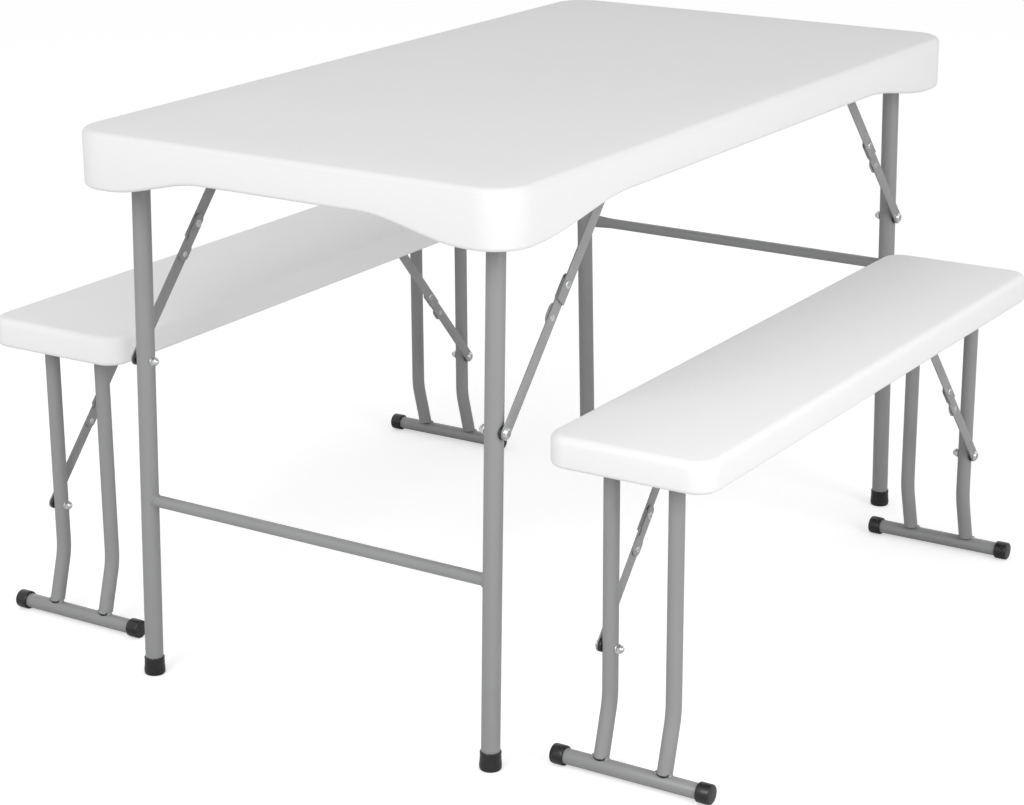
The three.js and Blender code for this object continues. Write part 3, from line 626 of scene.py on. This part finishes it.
def pocketed_panel(half_x, half_y, height, columns, rows, thickness):
    """A panel with rows of pockets pressed up into its lower face."""
    bpy.ops.object.select_all(action="DESELECT")
    bpy.ops.mesh.primitive_grid_add(
        x_subdivisions=columns, y_subdivisions=rows, size=1, location=(0, 0, height))
    panel = bpy.context.object
    panel.scale = (2 * half_x, 2 * half_y, 1)
    bpy.ops.object.transform_apply(location=True, rotation=True, scale=True)
    edit(panel)
    bpy.ops.mesh.select_all(action="SELECT")
    bpy.ops.mesh.inset(thickness=POCKET_RIB, use_individual=True)
    bpy.ops.transform.translate(value=(0, 0, POCKET_DEPTH))
    bpy.ops.mesh.inset(thickness=POCKET_RIB / 2, use_individual=True)
    leave()
    back = panel.modifiers.new("back", "SOLIDIFY")
    back.thickness = thickness
    back.offset = 1
    rim = panel.modifiers.new("soft_rib", "BEVEL")
    rim.width = RIB_ROUND
    rim.segments = RIB_STEPS
    rim.limit_method = "ANGLE"
    rim.angle_limit = RIB_ANGLE
    apply_modifiers(panel)
    return panel


panel = pocketed_panel(
    half_width - SKIRT_WALL - PANEL_SIDE_GAP, half_length - SKIRT_WALL - PANEL_END_GAP, rail_top + GAP,
    *TABLE_POCKETS, UNDERSIDE_THICKNESS - POCKET_DEPTH)
settle(panel, "table_top_underside", "table", "plastic", TABLE_PLACE)
print("underside", len(panel.data.polygons), "faces")

# %% [markdown]
# Each pair of table legs is one welded frame: two straight tubes, a crossbar and the rod that they turn on.
# The crossbar's ends are cut to the curve of the legs before welding, and a thin bead runs round each joint.
# One end of the far crossbar is pressed flat in the picture, so it spreads up and down on its leg.

# %% Table leg frames
LEG_RADIUS = 0.012
LEG_SIDES = 48
LEG_END_ROUND = 0.0008
ROD_RADIUS = 0.007
ROD_SIDES = 24
ROD_END_ROUND = 0.001
CROSSBAR_RADIUS = 0.008
CROSSBAR_SIDES = 32
CROSSBAR_HEIGHTS = {"near": 0.244, "far": 0.391}
LEG_TOP_RISE = 0.004
FERRULE_FLOOR = 0.004
BEAD = 0.0016
BEAD_STEPS = 40
BEAD_UNEVEN = 0.15
WELD_SEED = 5
FLAT_LENGTH = 0.045
FLAT_STEPS = 6
ROUND_END = (1.0, 1.0)
FLAT_END = (0.5, 1.32)


def uneven(piece, amount):
    """Roughens a weld by moving its corners at random, the same way each time."""
    edit(piece)
    bpy.ops.mesh.select_all(action="SELECT")
    bpy.ops.transform.vertex_random(offset=amount, seed=WELD_SEED)
    leave()
    return piece


def weld_bead(leg_x, toward, bar_y, height, shape):
    """A slightly uneven bead of weld along the line where the crossbar meets a leg."""
    line = []
    for step in range(BEAD_STEPS + 1):
        turn = 2 * pi * step / BEAD_STEPS
        across = CROSSBAR_RADIUS * shape[0] * cos(turn)
        rise = CROSSBAR_RADIUS * shape[1] * sin(turn)
        depth = (LEG_RADIUS ** 2 - across ** 2) ** 0.5
        line.append((leg_x + toward * depth, bar_y + across, height + rise))
    return uneven(bent_tube(line, BEAD), BEAD * BEAD_UNEVEN)


def press_left_end(bar, leg_x, y, z, shape):
    """Presses a crossbar's left end to a share of its thickness and of its height."""
    edit(bar)
    steps = [step / FLAT_STEPS for step in range(FLAT_STEPS + 1)]
    reaches = [leg_x + LEG_RADIUS + FLAT_LENGTH * (1 - share) for share in steps]
    for reach in reaches:
        bpy.ops.mesh.select_all(action="SELECT")
        bpy.ops.mesh.bisect(plane_co=(reach, 0, 0), plane_no=(1, 0, 0))
    for share, reach in zip(steps, reaches):
        press = eased(share)
        last = leg_x if share == 1 else reach
        choose(bar, "VERT", lambda v: last - NEARBY < v.co.x < reach + NEARBY)
        thick, tall = (1 + (size - 1) * press for size in shape)
        bpy.ops.transform.resize(value=(1, thick, tall), center_override=(0, y, z))
    leave()


def leg_frame(end):
    """One welded pair of table legs, with its rod, crossbar and beads."""
    hinge = pivot(f"table_{end}_fold", TABLE_PLACE)
    bolts = [pivot(f"table_{end}_{side}_lower_strap", TABLE_PLACE) for side in ("left", "right")]
    rod_low, rod_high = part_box(f"table_legs_{end}")
    rod_half = (rod_high.x - rod_low.x) / 2
    pieces = [round_bar(
        (-rod_half, hinge.y, hinge.z), (rod_half, hinge.y, hinge.z), ROD_RADIUS, ROD_SIDES, ROD_END_ROUND)]
    for bolt in bolts:
        slope = (bolt.y - hinge.y) / (bolt.z - hinge.z)
        foot = Vector((bolt.x, hinge.y + slope * (FERRULE_FLOOR - hinge.z), FERRULE_FLOOR))
        head = Vector((bolt.x, hinge.y + slope * LEG_TOP_RISE, hinge.z + LEG_TOP_RISE))
        pieces.append(round_bar(foot, head, LEG_RADIUS, LEG_SIDES, LEG_END_ROUND))
    height = CROSSBAR_HEIGHTS[end]
    bar_y = hinge.y + slope * (height - hinge.z)
    left, right = (bolt.x for bolt in bolts)
    left_end = FLAT_END if end == "far" else ROUND_END
    bar = round_bar((left, bar_y, height), (right, bar_y, height), CROSSBAR_RADIUS, CROSSBAR_SIDES)
    press_left_end(bar, left, bar_y, height, left_end)
    pieces += [
        bar, weld_bead(left, 1, bar_y, height, left_end),
        weld_bead(right, -1, bar_y, height, ROUND_END)]
    return settle(
        joined(*pieces), f"table_leg_frame_{end}", f"table_legs_{end}", "paint", TABLE_PLACE,
        [f"table_legs_{end}"])


for end in ("near", "far"):
    made = leg_frame(end)
    print(made.name, len(made.data.polygons), "faces")

# %% [markdown]
# The feet are black rubber ferrules: a cup with a rolled lip at the top and a flared, rounded foot.
# A circle is extruded and scaled ring by ring, as on a lathe,
# then tilted to its leg and pressed level on the floor.

# %% Foot ferrules
FERRULE_WALL = 0.0013
CUP_SIDES = 48
FERRULE_RINGS = (
    (0.86, 0.0), (0.95, 0.0), (1.015, 0.0012), (1.045, 0.004), (1.035, 0.0075), (1.0, 0.012),
    (0.985, 0.019), (1.0, 0.0215), (1.0, 0.0232), (0.95, 0.024), (0.89, 0.024),
)


def flatten_on_floor(piece):
    """Presses whatever is under the floor flat on it."""
    edit(piece)
    choose(piece, "VERT", lambda v: v.co.z < 0)
    bpy.ops.transform.resize(value=(1, 1, 0), center_override=(0, 0, 0))
    leave()


def ringed_cup(rings, radius):
    """A closed form of revolution on Z from pairs of relative radius and height."""
    bpy.ops.object.select_all(action="DESELECT")
    first = rings[0]
    bpy.ops.mesh.primitive_circle_add(
        vertices=CUP_SIDES, radius=radius * first[0], fill_type="NGON", location=(0, 0, first[1]))
    bpy.ops.object.transform_apply(location=True, rotation=True, scale=True)
    cup = bpy.context.object
    edit(cup)
    bpy.ops.mesh.select_all(action="SELECT")
    for (wide, low), (wider, high) in zip(rings, rings[1:]):
        bpy.ops.mesh.extrude_region_move(TRANSFORM_OT_translate={"value": (0, 0, high - low)})
        grow = wider / wide
        bpy.ops.transform.resize(value=(grow, grow, 1), center_override=(0, 0, high))
    leave()
    return cup


for end in ("near", "far"):
    for side in ("left", "right"):
        label = f"table_{end}_{side}"
        hinge = pivot(f"table_{end}_fold", TABLE_PLACE)
        bolt = pivot(f"{label}_lower_strap", TABLE_PLACE)
        slope = (bolt.y - hinge.y) / (bolt.z - hinge.z)
        ferrule = ringed_cup(FERRULE_RINGS, LEG_RADIUS + GAP + FERRULE_WALL)
        foot = Vector((bolt.x, hinge.y - slope * hinge.z, 0))
        lean = Matrix.Rotation(-atan2(slope, 1.0), 4, "X")
        ferrule.data.transform(Matrix.Translation(foot) @ lean)
        flatten_on_floor(ferrule)
        settle(
            ferrule, f"{label}_ferrule", f"table_legs_{end}", "rubber", TABLE_PLACE,
            [f"{label}_foot_ferrule"])
print("ferrules", len(ferrule.data.polygons), "faces each")

# %% [markdown]
# A brace is two flat steel straps that meet at an elbow and lock in line when the leg is open.
# The lower one carries a lock plate at the elbow, and a bolt with a black spacer holds it to the leg.
# Straps are cut flat and only their edges are softened, so a disc is stretched, thickened and bevelled.

# %% Brace straps
STRAP = 0.002
STRAP_SIDES = 28
STRAP_TAIL = 0.024
STRAP_EDGE = 0.00035
STRAP_EDGE_STEPS = 2
SHARP_EDGE = radians(60)
LOCK_LENGTH = 0.046
PLATE_WIDTH = 0.7
PLATE_THINNESS = 0.7
HOOK_BACK, HOOK_TIP = 0.018, 0.006
HOOK_WIDTH = 0.8
HOOK_PEEK = 0.001
LOBE_LENGTH = 0.008
LOBE_SPREAD = 1.15
LOBE_PEEK = 0.0015
EYELET_RADIUS = 0.0052
EYELET_HOLE = 0.0019
EYELET_HEIGHT = 0.0016
INNER_HEIGHT = 0.0008
RIVET_SCALE = 0.8
FLUSH_SHARE = 0.8
DOME_SHARE = 0.8
DOME_STEPS = 4
DISC_SIDES = 32
HOLE_SHARE = 0.9
FLAT_FACE = 0.99
RIVET_DIMPLE = 0.001
SHIM = 0.00005


def layers(leg_radius):
    """Distances of a brace's layers from the middle of its leg."""
    lock = leg_radius + 2 * GAP + RIVET_DIMPLE
    lower = lock + STRAP
    return {"lock": lock, "lower": lower, "upper": lower + STRAP + GAP}


def strap(start, end, width, x, side, tail=0.0, thickness=STRAP):
    """A flat strap in the plane of Y and Z with round ends, or a square tail past its end."""
    start, end = Vector((x, start.y, start.z)), Vector((x, end.y, end.z))
    length = (end - start).length
    bpy.ops.object.select_all(action="DESELECT")
    bpy.ops.mesh.primitive_circle_add(
        vertices=STRAP_SIDES, radius=width / 2, fill_type="NGON", rotation=(0, 0, pi / STRAP_SIDES))
    bpy.ops.object.transform_apply(location=True, rotation=True, scale=True)
    piece = bpy.context.object
    edit(piece)
    choose(piece, "VERT", lambda v: v.co.x > 0)
    bpy.ops.transform.translate(value=(length, 0, 0))
    if tail > 0:
        bpy.ops.transform.resize(value=(0, 1, 1), center_override=(length, 0, 0))
        bpy.ops.transform.translate(value=(tail, 0, 0))
    bpy.ops.mesh.select_all(action="SELECT")
    bpy.ops.mesh.extrude_region_move(TRANSFORM_OT_translate={"value": (0, 0, thickness)})
    choose(piece, "EDGE", lambda e: len(e.link_faces) == 2 and e.calc_face_angle(0) > SHARP_EDGE)
    bpy.ops.mesh.bevel(offset=STRAP_EDGE, segments=STRAP_EDGE_STEPS, affect="EDGES")
    leave()
    way = (end - start) / length
    piece.data.transform(Matrix((
        (0, 0, side, x), (way.y, -way.z, 0, start.y), (way.z, way.y, 0, start.z), (0, 0, 0, 1))))
    return piece


def domed_disc(middle, side, radius, height, hole=0.0):
    """A low rivet or screw head on the X axis: a disc whose rim is rounded over."""
    middle = Vector(middle)
    head = round_bar(middle, middle + Vector((side * height, 0, 0)), radius, DISC_SIDES)
    edit(head)
    outer = middle.x + side * height
    choose(head, "EDGE", lambda e: all(abs(v.co.x - outer) < TOUCH for v in e.verts))
    bpy.ops.mesh.bevel(offset=height * DOME_SHARE, segments=DOME_STEPS, affect="EDGES")
    if hole > 0:
        choose(head, "FACE", lambda f: abs(f.normal.x) > FLAT_FACE and abs(centre(f).x - outer) < TOUCH)
        flat = radius - height * DOME_SHARE
        bpy.ops.mesh.inset(thickness=flat - hole)
        bpy.ops.mesh.extrude_region_move(
            TRANSFORM_OT_translate={"value": (-side * height * HOLE_SHARE, 0, 0)})
    leave()
    return head


def brace(label, legs, place, width, leg_radius, side):
    """All the pieces of one brace: straps, lock plate, bolt, nut, spacer and elbow rivet."""
    bolt = pivot(f"{label}_lower_strap", place)
    upper = pivot(f"{label}_upper_strap", place)
    rivet_low, rivet_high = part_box(f"{label}_elbow_rivet")
    elbow = place.inverted() @ ((rivet_low + rivet_high) / 2)
    at = {name: bolt.x + side * distance for name, distance in layers(leg_radius).items()}
    way = (elbow - bolt).normalized()
    way = Vector((0, way.y, way.z)).normalized()
    low_rivet = elbow - way * LOCK_LENGTH
    peek = Vector((0, -way.z, way.y))
    peek *= 1 if peek.y < 0 else -1
    hook, lobe = peek * HOOK_PEEK, peek * LOBE_PEEK
    thin = STRAP * PLATE_THINNESS
    lower = joined(
        strap(bolt, elbow, width, at["lower"], side),
        strap(low_rivet, elbow, width * PLATE_WIDTH, at["lock"], side, thickness=thin),
        strap(elbow - way * HOOK_BACK + hook, elbow + way * HOOK_TIP + hook, width * HOOK_WIDTH,
              at["lock"] - side * SHIM, side, thickness=thin),
        strap(low_rivet + lobe, low_rivet + way * LOBE_LENGTH + lobe, width * LOBE_SPREAD,
              at["lock"] + side * SHIM, side, thickness=thin))
    settle(
        lower, f"{label}_lower_strap", f"{label}_lower_link", "strap", place, [f"{label}_lower_link"])
    outer_rivet = (at["lower"] + side * STRAP, low_rivet.y, low_rivet.z)
    inner_rivet = (at["lock"] - side * SHIM, low_rivet.y, low_rivet.z)
    radius, hole = EYELET_RADIUS * RIVET_SCALE, EYELET_HOLE * RIVET_SCALE
    rivet = joined(
        domed_disc(outer_rivet, side, radius, GAP * FLUSH_SHARE, hole),
        domed_disc(inner_rivet, -side, radius, INNER_HEIGHT, hole))
    settle(rivet, f"{label}_plate_rivet", f"{label}_lower_link", "zinc", place)
    tail = strap(upper, elbow, width, at["upper"], side, STRAP_TAIL)
    settle(
        tail, f"{label}_upper_strap", f"{label}_upper_link", "strap", place, [f"{label}_upper_link"])
    outer_eye = (at["upper"] + side * STRAP, elbow.y, elbow.z)
    inner_eye = (at["lock"] - side * SHIM, elbow.y, elbow.z)
    eyelet = joined(
        domed_disc(outer_eye, side, EYELET_RADIUS, EYELET_HEIGHT, EYELET_HOLE),
        domed_disc(inner_eye, -side, EYELET_RADIUS, INNER_HEIGHT, EYELET_HOLE))
    settle(
        eyelet, f"{label}_eyelet", f"{label}_upper_link", "zinc", place, [f"{label}_elbow_rivet"])
    hardware(label, legs, place, bolt, at, leg_radius, side)


print("brace layers", {name: round(distance, 4) for name, distance in layers(LEG_RADIUS).items()})

# %% [markdown]
# The bolt through the leg has a cross-recessed pan head on a washer outside, and a domed nut inside.
# A hexagon with softened edges and half a ball make the nut; two crossed blocks cut the recess.

# %% Bolts, nuts and spacers
BOLT_HEAD = 0.0032
HEAD_RADIUS = 0.0062
HEAD_SEAT = 0.0008
HEAD_TRIM = 0.0006
CROSS_LENGTH, CROSS_WIDTH = 0.0068, 0.0015
CROSS_REACH = 0.0014
CROSS_RISE = 0.0002
WASHER = 0.001
WASHER_RADIUS = 0.0080
WASHER_ROUND = 0.0003
SHANK_RADIUS, SHANK_SIDES = 0.004, 20
NUT_RADIUS = 0.006
NUT_HEIGHT = 0.005
NUT_SINK = 0.0006
NUT_ROUND = 0.0005
NUT_SIDES = 6
NUT_WASHER_RADIUS = 0.0066
NUT_WASHER_IN, NUT_WASHER_OUT = 0.001, 0.0008
DOME_RADIUS = 0.0044
DOME_SEGMENTS, DOME_RINGS = 28, 16
SPACER_RADIUS = 0.0085
SPACER_SINK = 0.001
SPACER_GAP = 0.0002
SPACER_ROUND = 0.0006


def cut_cross(head, x, y, z):
    """A cross recess in a screw head, cut with two crossed blocks."""
    bars = []
    for wide, tall in ((CROSS_LENGTH, CROSS_WIDTH), (CROSS_WIDTH, CROSS_LENGTH)):
        block = box_at(
            (x - CROSS_REACH, y - wide / 2, z - tall / 2), (x + CROSS_REACH, y + wide / 2, z + tall / 2))
        leave()
        bars.append(block)
    for block in bars:
        cut = head.modifiers.new("recess", "BOOLEAN")
        cut.operation = "DIFFERENCE"
        cut.solver = "EXACT"
        cut.object = block
    apply_modifiers(head)
    for block in bars:
        bpy.data.objects.remove(block)
    return head


def hardware(label, legs, place, bolt, at, leg_radius, side):
    """The bolt, washers and domed nut of one brace, and its black spacer."""
    def on_bolt(x):
        return x, bolt.y, bolt.z

    def disc(start, end, radius, sides, rounding=0.0):
        return round_bar(on_bolt(start), on_bolt(end), radius, sides, rounding)

    outer = at["lower"] + side * STRAP
    washer = disc(outer, outer + side * WASHER, WASHER_RADIUS, DISC_SIDES, WASHER_ROUND)
    head = domed_disc(on_bolt(outer + side * HEAD_SEAT), side, HEAD_RADIUS, BOLT_HEAD - HEAD_TRIM)
    head = cut_cross(head, *on_bolt(outer + side * (BOLT_HEAD + CROSS_RISE)))
    inner = bolt.x - side * leg_radius
    nut = disc(inner - side * NUT_SINK, inner - side * NUT_HEIGHT, NUT_RADIUS, NUT_SIDES, NUT_ROUND)
    nut_washer = disc(
        inner + side * NUT_WASHER_IN, inner - side * NUT_WASHER_OUT, NUT_WASHER_RADIUS, DISC_SIDES,
        WASHER_ROUND)
    bpy.ops.object.select_all(action="DESELECT")
    bpy.ops.mesh.primitive_uv_sphere_add(
        segments=DOME_SEGMENTS, ring_count=DOME_RINGS, radius=DOME_RADIUS,
        location=on_bolt(inner - side * (NUT_HEIGHT - NUT_SINK)))
    bpy.ops.object.transform_apply(location=True, rotation=True, scale=True)
    dome = bpy.context.object
    shank = disc(inner, outer, SHANK_RADIUS, SHANK_SIDES)
    settle(
        joined(head, washer, nut, nut_washer, dome, shank), f"{label}_bolt_and_nut", legs, "zinc", place,
        [f"{label}_link_bolt"])
    spacer = disc(
        bolt.x + side * (leg_radius - SPACER_SINK), at["lower"] - side * SPACER_GAP, SPACER_RADIUS,
        DISC_SIDES, SPACER_ROUND)
    settle(spacer, f"{label}_spacer", legs, "rubber", place)


TABLE_STRAP_WIDTH = 0.018
for end in ("near", "far"):
    for side_name, side in (("left", -1), ("right", 1)):
        brace(
            f"table_{end}_{side_name}", f"table_legs_{end}", TABLE_PLACE, TABLE_STRAP_WIDTH, LEG_RADIUS,
            side)
        print("brace made", end, side_name)

# %% [markdown]
# A bench seat is a long moulded plank with a full round rim, hollow underneath.
# Its block is rounded at the corners and along both rims, then its lower face is inset and pushed up.
# A pocketed panel like the table's closes it from below.

# %% Bench seats
SEAT_CORNER = 0.030
SEAT_TOP_ROUND = 0.010
SEAT_FOOT_ROUND = 0.006
SEAT_WALL = 0.016
SEAT_DECK = 0.0065
SEAT_POCKETS = (2, 8)
SEAT_FOOT_STEPS = 5
FLAT_DOWN = -0.99
BENCH_WIDTH = 0.222
BENCH_LENGTH = 0.988


def bench_seat(name, place):
    """The moulded shell of one seat."""
    low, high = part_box(f"{name}_seat")
    seat = box_at(
        (-BENCH_WIDTH / 2, -BENCH_LENGTH / 2, low.z), (BENCH_WIDTH / 2, BENCH_LENGTH / 2, high.z))
    choose(seat, "EDGE", upright)
    bpy.ops.mesh.bevel(offset=SEAT_CORNER, segments=CORNER_STEPS, affect="EDGES")
    choose(seat, "EDGE", level_at(high.z))
    bpy.ops.mesh.bevel(offset=SEAT_TOP_ROUND, segments=EDGE_STEPS, affect="EDGES")
    choose(seat, "EDGE", level_at(low.z))
    bpy.ops.mesh.bevel(offset=SEAT_FOOT_ROUND, segments=SEAT_FOOT_STEPS, affect="EDGES")
    choose(seat, "FACE", lambda f: f.normal.z < FLAT_DOWN)
    bpy.ops.mesh.inset(thickness=SEAT_WALL - SEAT_FOOT_ROUND)
    bpy.ops.mesh.extrude_region_move(
        TRANSFORM_OT_translate={"value": (0, 0, high.z - SEAT_DECK - low.z)})
    leave()
    # The seat takes the lighter copy of the table's plastic, which is painted light.
    settle(seat, f"{name}_seat_shell", name, "plastic", place, [f"{name}_seat"], PAINTED_LIGHT_SEAT_PLASTIC)
    return seat


def seat_underside(name, place):
    """The pocketed panel under one seat, above its brackets."""
    seat_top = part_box(f"{name}_seat")[1].z
    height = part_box(f"{name}_bracket_near")[1].z + GAP
    thickness = seat_top - SEAT_DECK - height - POCKET_DEPTH
    panel = pocketed_panel(
        BENCH_WIDTH / 2 - SEAT_WALL - GAP, BENCH_LENGTH / 2 - SEAT_WALL - GAP, height, *SEAT_POCKETS,
        thickness)
    settle(panel, f"{name}_seat_underside", name, "plastic", place, material=PAINTED_LIGHT_SEAT_PLASTIC)
    return thickness


for name, place in BENCH_PLACES.items():
    print(bench_seat(name, place).name, "underside", round(seat_underside(name, place), 4))

# %% [markdown]
# Each pair of bench legs is welded to a foot tube that lies across the bench, with a black cap on each end.
# The legs are straight, then sweep outwards just above the foot,
# so that the bench stands wider than it folds.
# They end flat on the tube and are welded at their sides only.
# A black slug in each leg's end is painted shade for its shadowed inside, and it shows as a thin dark line.

# %% Bench leg frames
BENCH_LEG_RADIUS = 0.010
FOOT_TUBE_ROUND = 0.0006
BENCH_ROD_RADIUS = 0.006
BENCH_ROD_ROUND = 0.0008
BENCH_LEG_X = 0.044
BENCH_ROD_HALF = 0.0662
BEND_START = 0.107
BEND_SHARE = 0.3
BEND_OFFSET = 0.023
FOOT_TUBE_HALF = 0.1075
BEND_RINGS = 20
LEG_LIFT = 0.0012
# The mouth sizes are those of a black slug that stands in for the shade inside each leg's end.
MOUTH_RADIUS = 0.0062
MOUTH_DEPTH = 0.005
MOUTH_ROUND = 0.0004
MOUTH_SIDES = 24
MOUTH_STRETCH = 1.5
FILLET = 0.0028
FILLET_SHAPE = (1, 1.6, 1.1)
FILLET_SEGMENTS, FILLET_RINGS = 20, 12
FILLET_UNEVEN = 0.12
FILLET_OUT, FILLET_UP = 0.98, 0.99
CAP_WALL = 0.0025
CAP_RINGS = (
    (0.80, 0.0), (0.90, 0.0002), (0.965, 0.0009), (1.0, 0.0026), (1.0, 0.0155), (0.985, 0.0174),
    (0.95, 0.018), (0.82, 0.018),
)


def swept_leg(x, out, hinge, foot_height):
    """The line of a bench leg from its rod down into the foot tube."""
    line = [(x, hinge.y, hinge.z + LEG_TOP_RISE), (x, hinge.y, BEND_START)]
    for ring in range(1, BEND_RINGS + 1):
        share = ring / BEND_RINGS
        if share < BEND_SHARE:
            sweep = share * share / BEND_SHARE / (2 - BEND_SHARE)
        else:
            sweep = (2 * share - BEND_SHARE) / (2 - BEND_SHARE)
        height = BEND_START + (foot_height - BEND_START) * share
        line.append((x, hinge.y + out * BEND_OFFSET * sweep, height))
    return line


def cut_flat(leg, height):
    """Cuts a leg's end level, a hair above the foot tube that its welds hold it to."""
    edit(leg)
    bpy.ops.mesh.select_all(action="SELECT")
    bpy.ops.mesh.bisect(
        plane_co=(0, 0, height), plane_no=(0, 0, 1), use_fill=True, clear_inner=True)
    leave()
    return leg


def mouth_shadow_slug(end):
    """A black slug in a leg's end: painted shade for its shadowed inside, a thin dark line above the foot tube."""
    shadow_slug = round_bar(
        end - Vector((0, 0, MOUTH_DEPTH)), end + Vector((0, 0, LEG_LIFT)), MOUTH_RADIUS, MOUTH_SIDES,
        MOUTH_ROUND)
    edit(shadow_slug)
    bpy.ops.mesh.select_all(action="SELECT")
    bpy.ops.transform.resize(value=(MOUTH_STRETCH, 1, 1), center_override=end)
    leave()
    return shadow_slug


def weld_fillet(spot):
    """A short uneven fillet of weld beside a leg."""
    bpy.ops.object.select_all(action="DESELECT")
    bpy.ops.mesh.primitive_uv_sphere_add(
        segments=FILLET_SEGMENTS, ring_count=FILLET_RINGS, radius=FILLET, location=spot,
        scale=FILLET_SHAPE)
    bpy.ops.object.transform_apply(location=True, rotation=True, scale=True)
    return uneven(bpy.context.object, FILLET * FILLET_UNEVEN)


def bench_legs(name, end, out, place):
    """One welded pair of bench legs, with its rod, foot tube, painted shade slugs in the leg ends, and caps."""
    hinge = pivot(f"{name}_{end}_fold", place)
    cap_low, cap_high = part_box(f"{name}_{end}_cap_left")
    foot_height = (cap_low.z + cap_high.z) / 2
    foot_y = hinge.y + out * BEND_OFFSET
    pieces = [
        round_bar((-FOOT_TUBE_HALF, foot_y, foot_height), (FOOT_TUBE_HALF, foot_y, foot_height),
                  BENCH_LEG_RADIUS, LEG_SIDES, FOOT_TUBE_ROUND),
        round_bar((-BENCH_ROD_HALF, hinge.y, hinge.z), (BENCH_ROD_HALF, hinge.y, hinge.z),
                  BENCH_ROD_RADIUS, ROD_SIDES, BENCH_ROD_ROUND),
    ]
    mouth_shadows = []
    for side in (-1, 1):
        leg = bent_tube(swept_leg(side * BENCH_LEG_X, out, hinge, foot_height), BENCH_LEG_RADIUS)
        leg_end = foot_height + BENCH_LEG_RADIUS + LEG_LIFT
        pieces.append(cut_flat(leg, leg_end))
        # Painted shade: a black slug in the leg's end stands in for the shade inside it.
        mouth_shadows.append(mouth_shadow_slug(Vector((side * BENCH_LEG_X, foot_y, leg_end))))
        for edge in (-1, 1):
            toe = side * BENCH_LEG_X + edge * BENCH_LEG_RADIUS * FILLET_OUT
            pieces.append(weld_fillet((toe, foot_y, foot_height + BENCH_LEG_RADIUS * FILLET_UP)))
    settle(
        joined(*pieces), f"{name}_leg_frame_{end}", f"{name}_legs_{end}", "paint", place,
        [f"{name}_legs_{end}"])
    # The slugs take the black rubber finish as painted shade.
    settle(joined(*mouth_shadows), f"{name}_leg_mouth_shadows_{end}", f"{name}_legs_{end}", "rubber", place)
    for side_name, side in (("left", -1), ("right", 1)):
        cap = ringed_cup(CAP_RINGS, BENCH_LEG_RADIUS + GAP + CAP_WALL)
        reach = side * (FOOT_TUBE_HALF + GAP + CAP_WALL)
        cap.data.transform(
            Matrix.Translation((reach, foot_y, foot_height)) @ Matrix.Rotation(-side * pi / 2, 4, "Y"))
        flatten_on_floor(cap)
        settle(
            cap, f"{name}_{end}_foot_cap_{side_name}", f"{name}_legs_{end}", "rubber", place,
            [f"{name}_{end}_cap_{side_name}"])


BENCH_STRAP_WIDTH = 0.017
for name, place in BENCH_PLACES.items():
    for end, out in (("near", -1), ("far", 1)):
        bench_legs(name, end, out, place)
        brace(
            f"{name}_{end}", f"{name}_legs_{end}", place, BENCH_STRAP_WIDTH, BENCH_LEG_RADIUS, out)
        print("legs and brace made", name, end)

# %% [markdown]
# The side rails under the table and the brackets under the seats keep the shape that the frame gives them.
# They only need their finish.

# %% Finishes of the kept nodes
SLOT_OF_NODE = {row["node"]: row["material_slot"] for row in frame["record"]["subparts"]}
for node_name, node in frame["nodes"].items():
    if not node.hide_render:
        node.data.materials.clear()
        node.data.materials.append(FINISH_OF_SLOT[SLOT_OF_NODE[node_name]])
        print("kept", node_name)
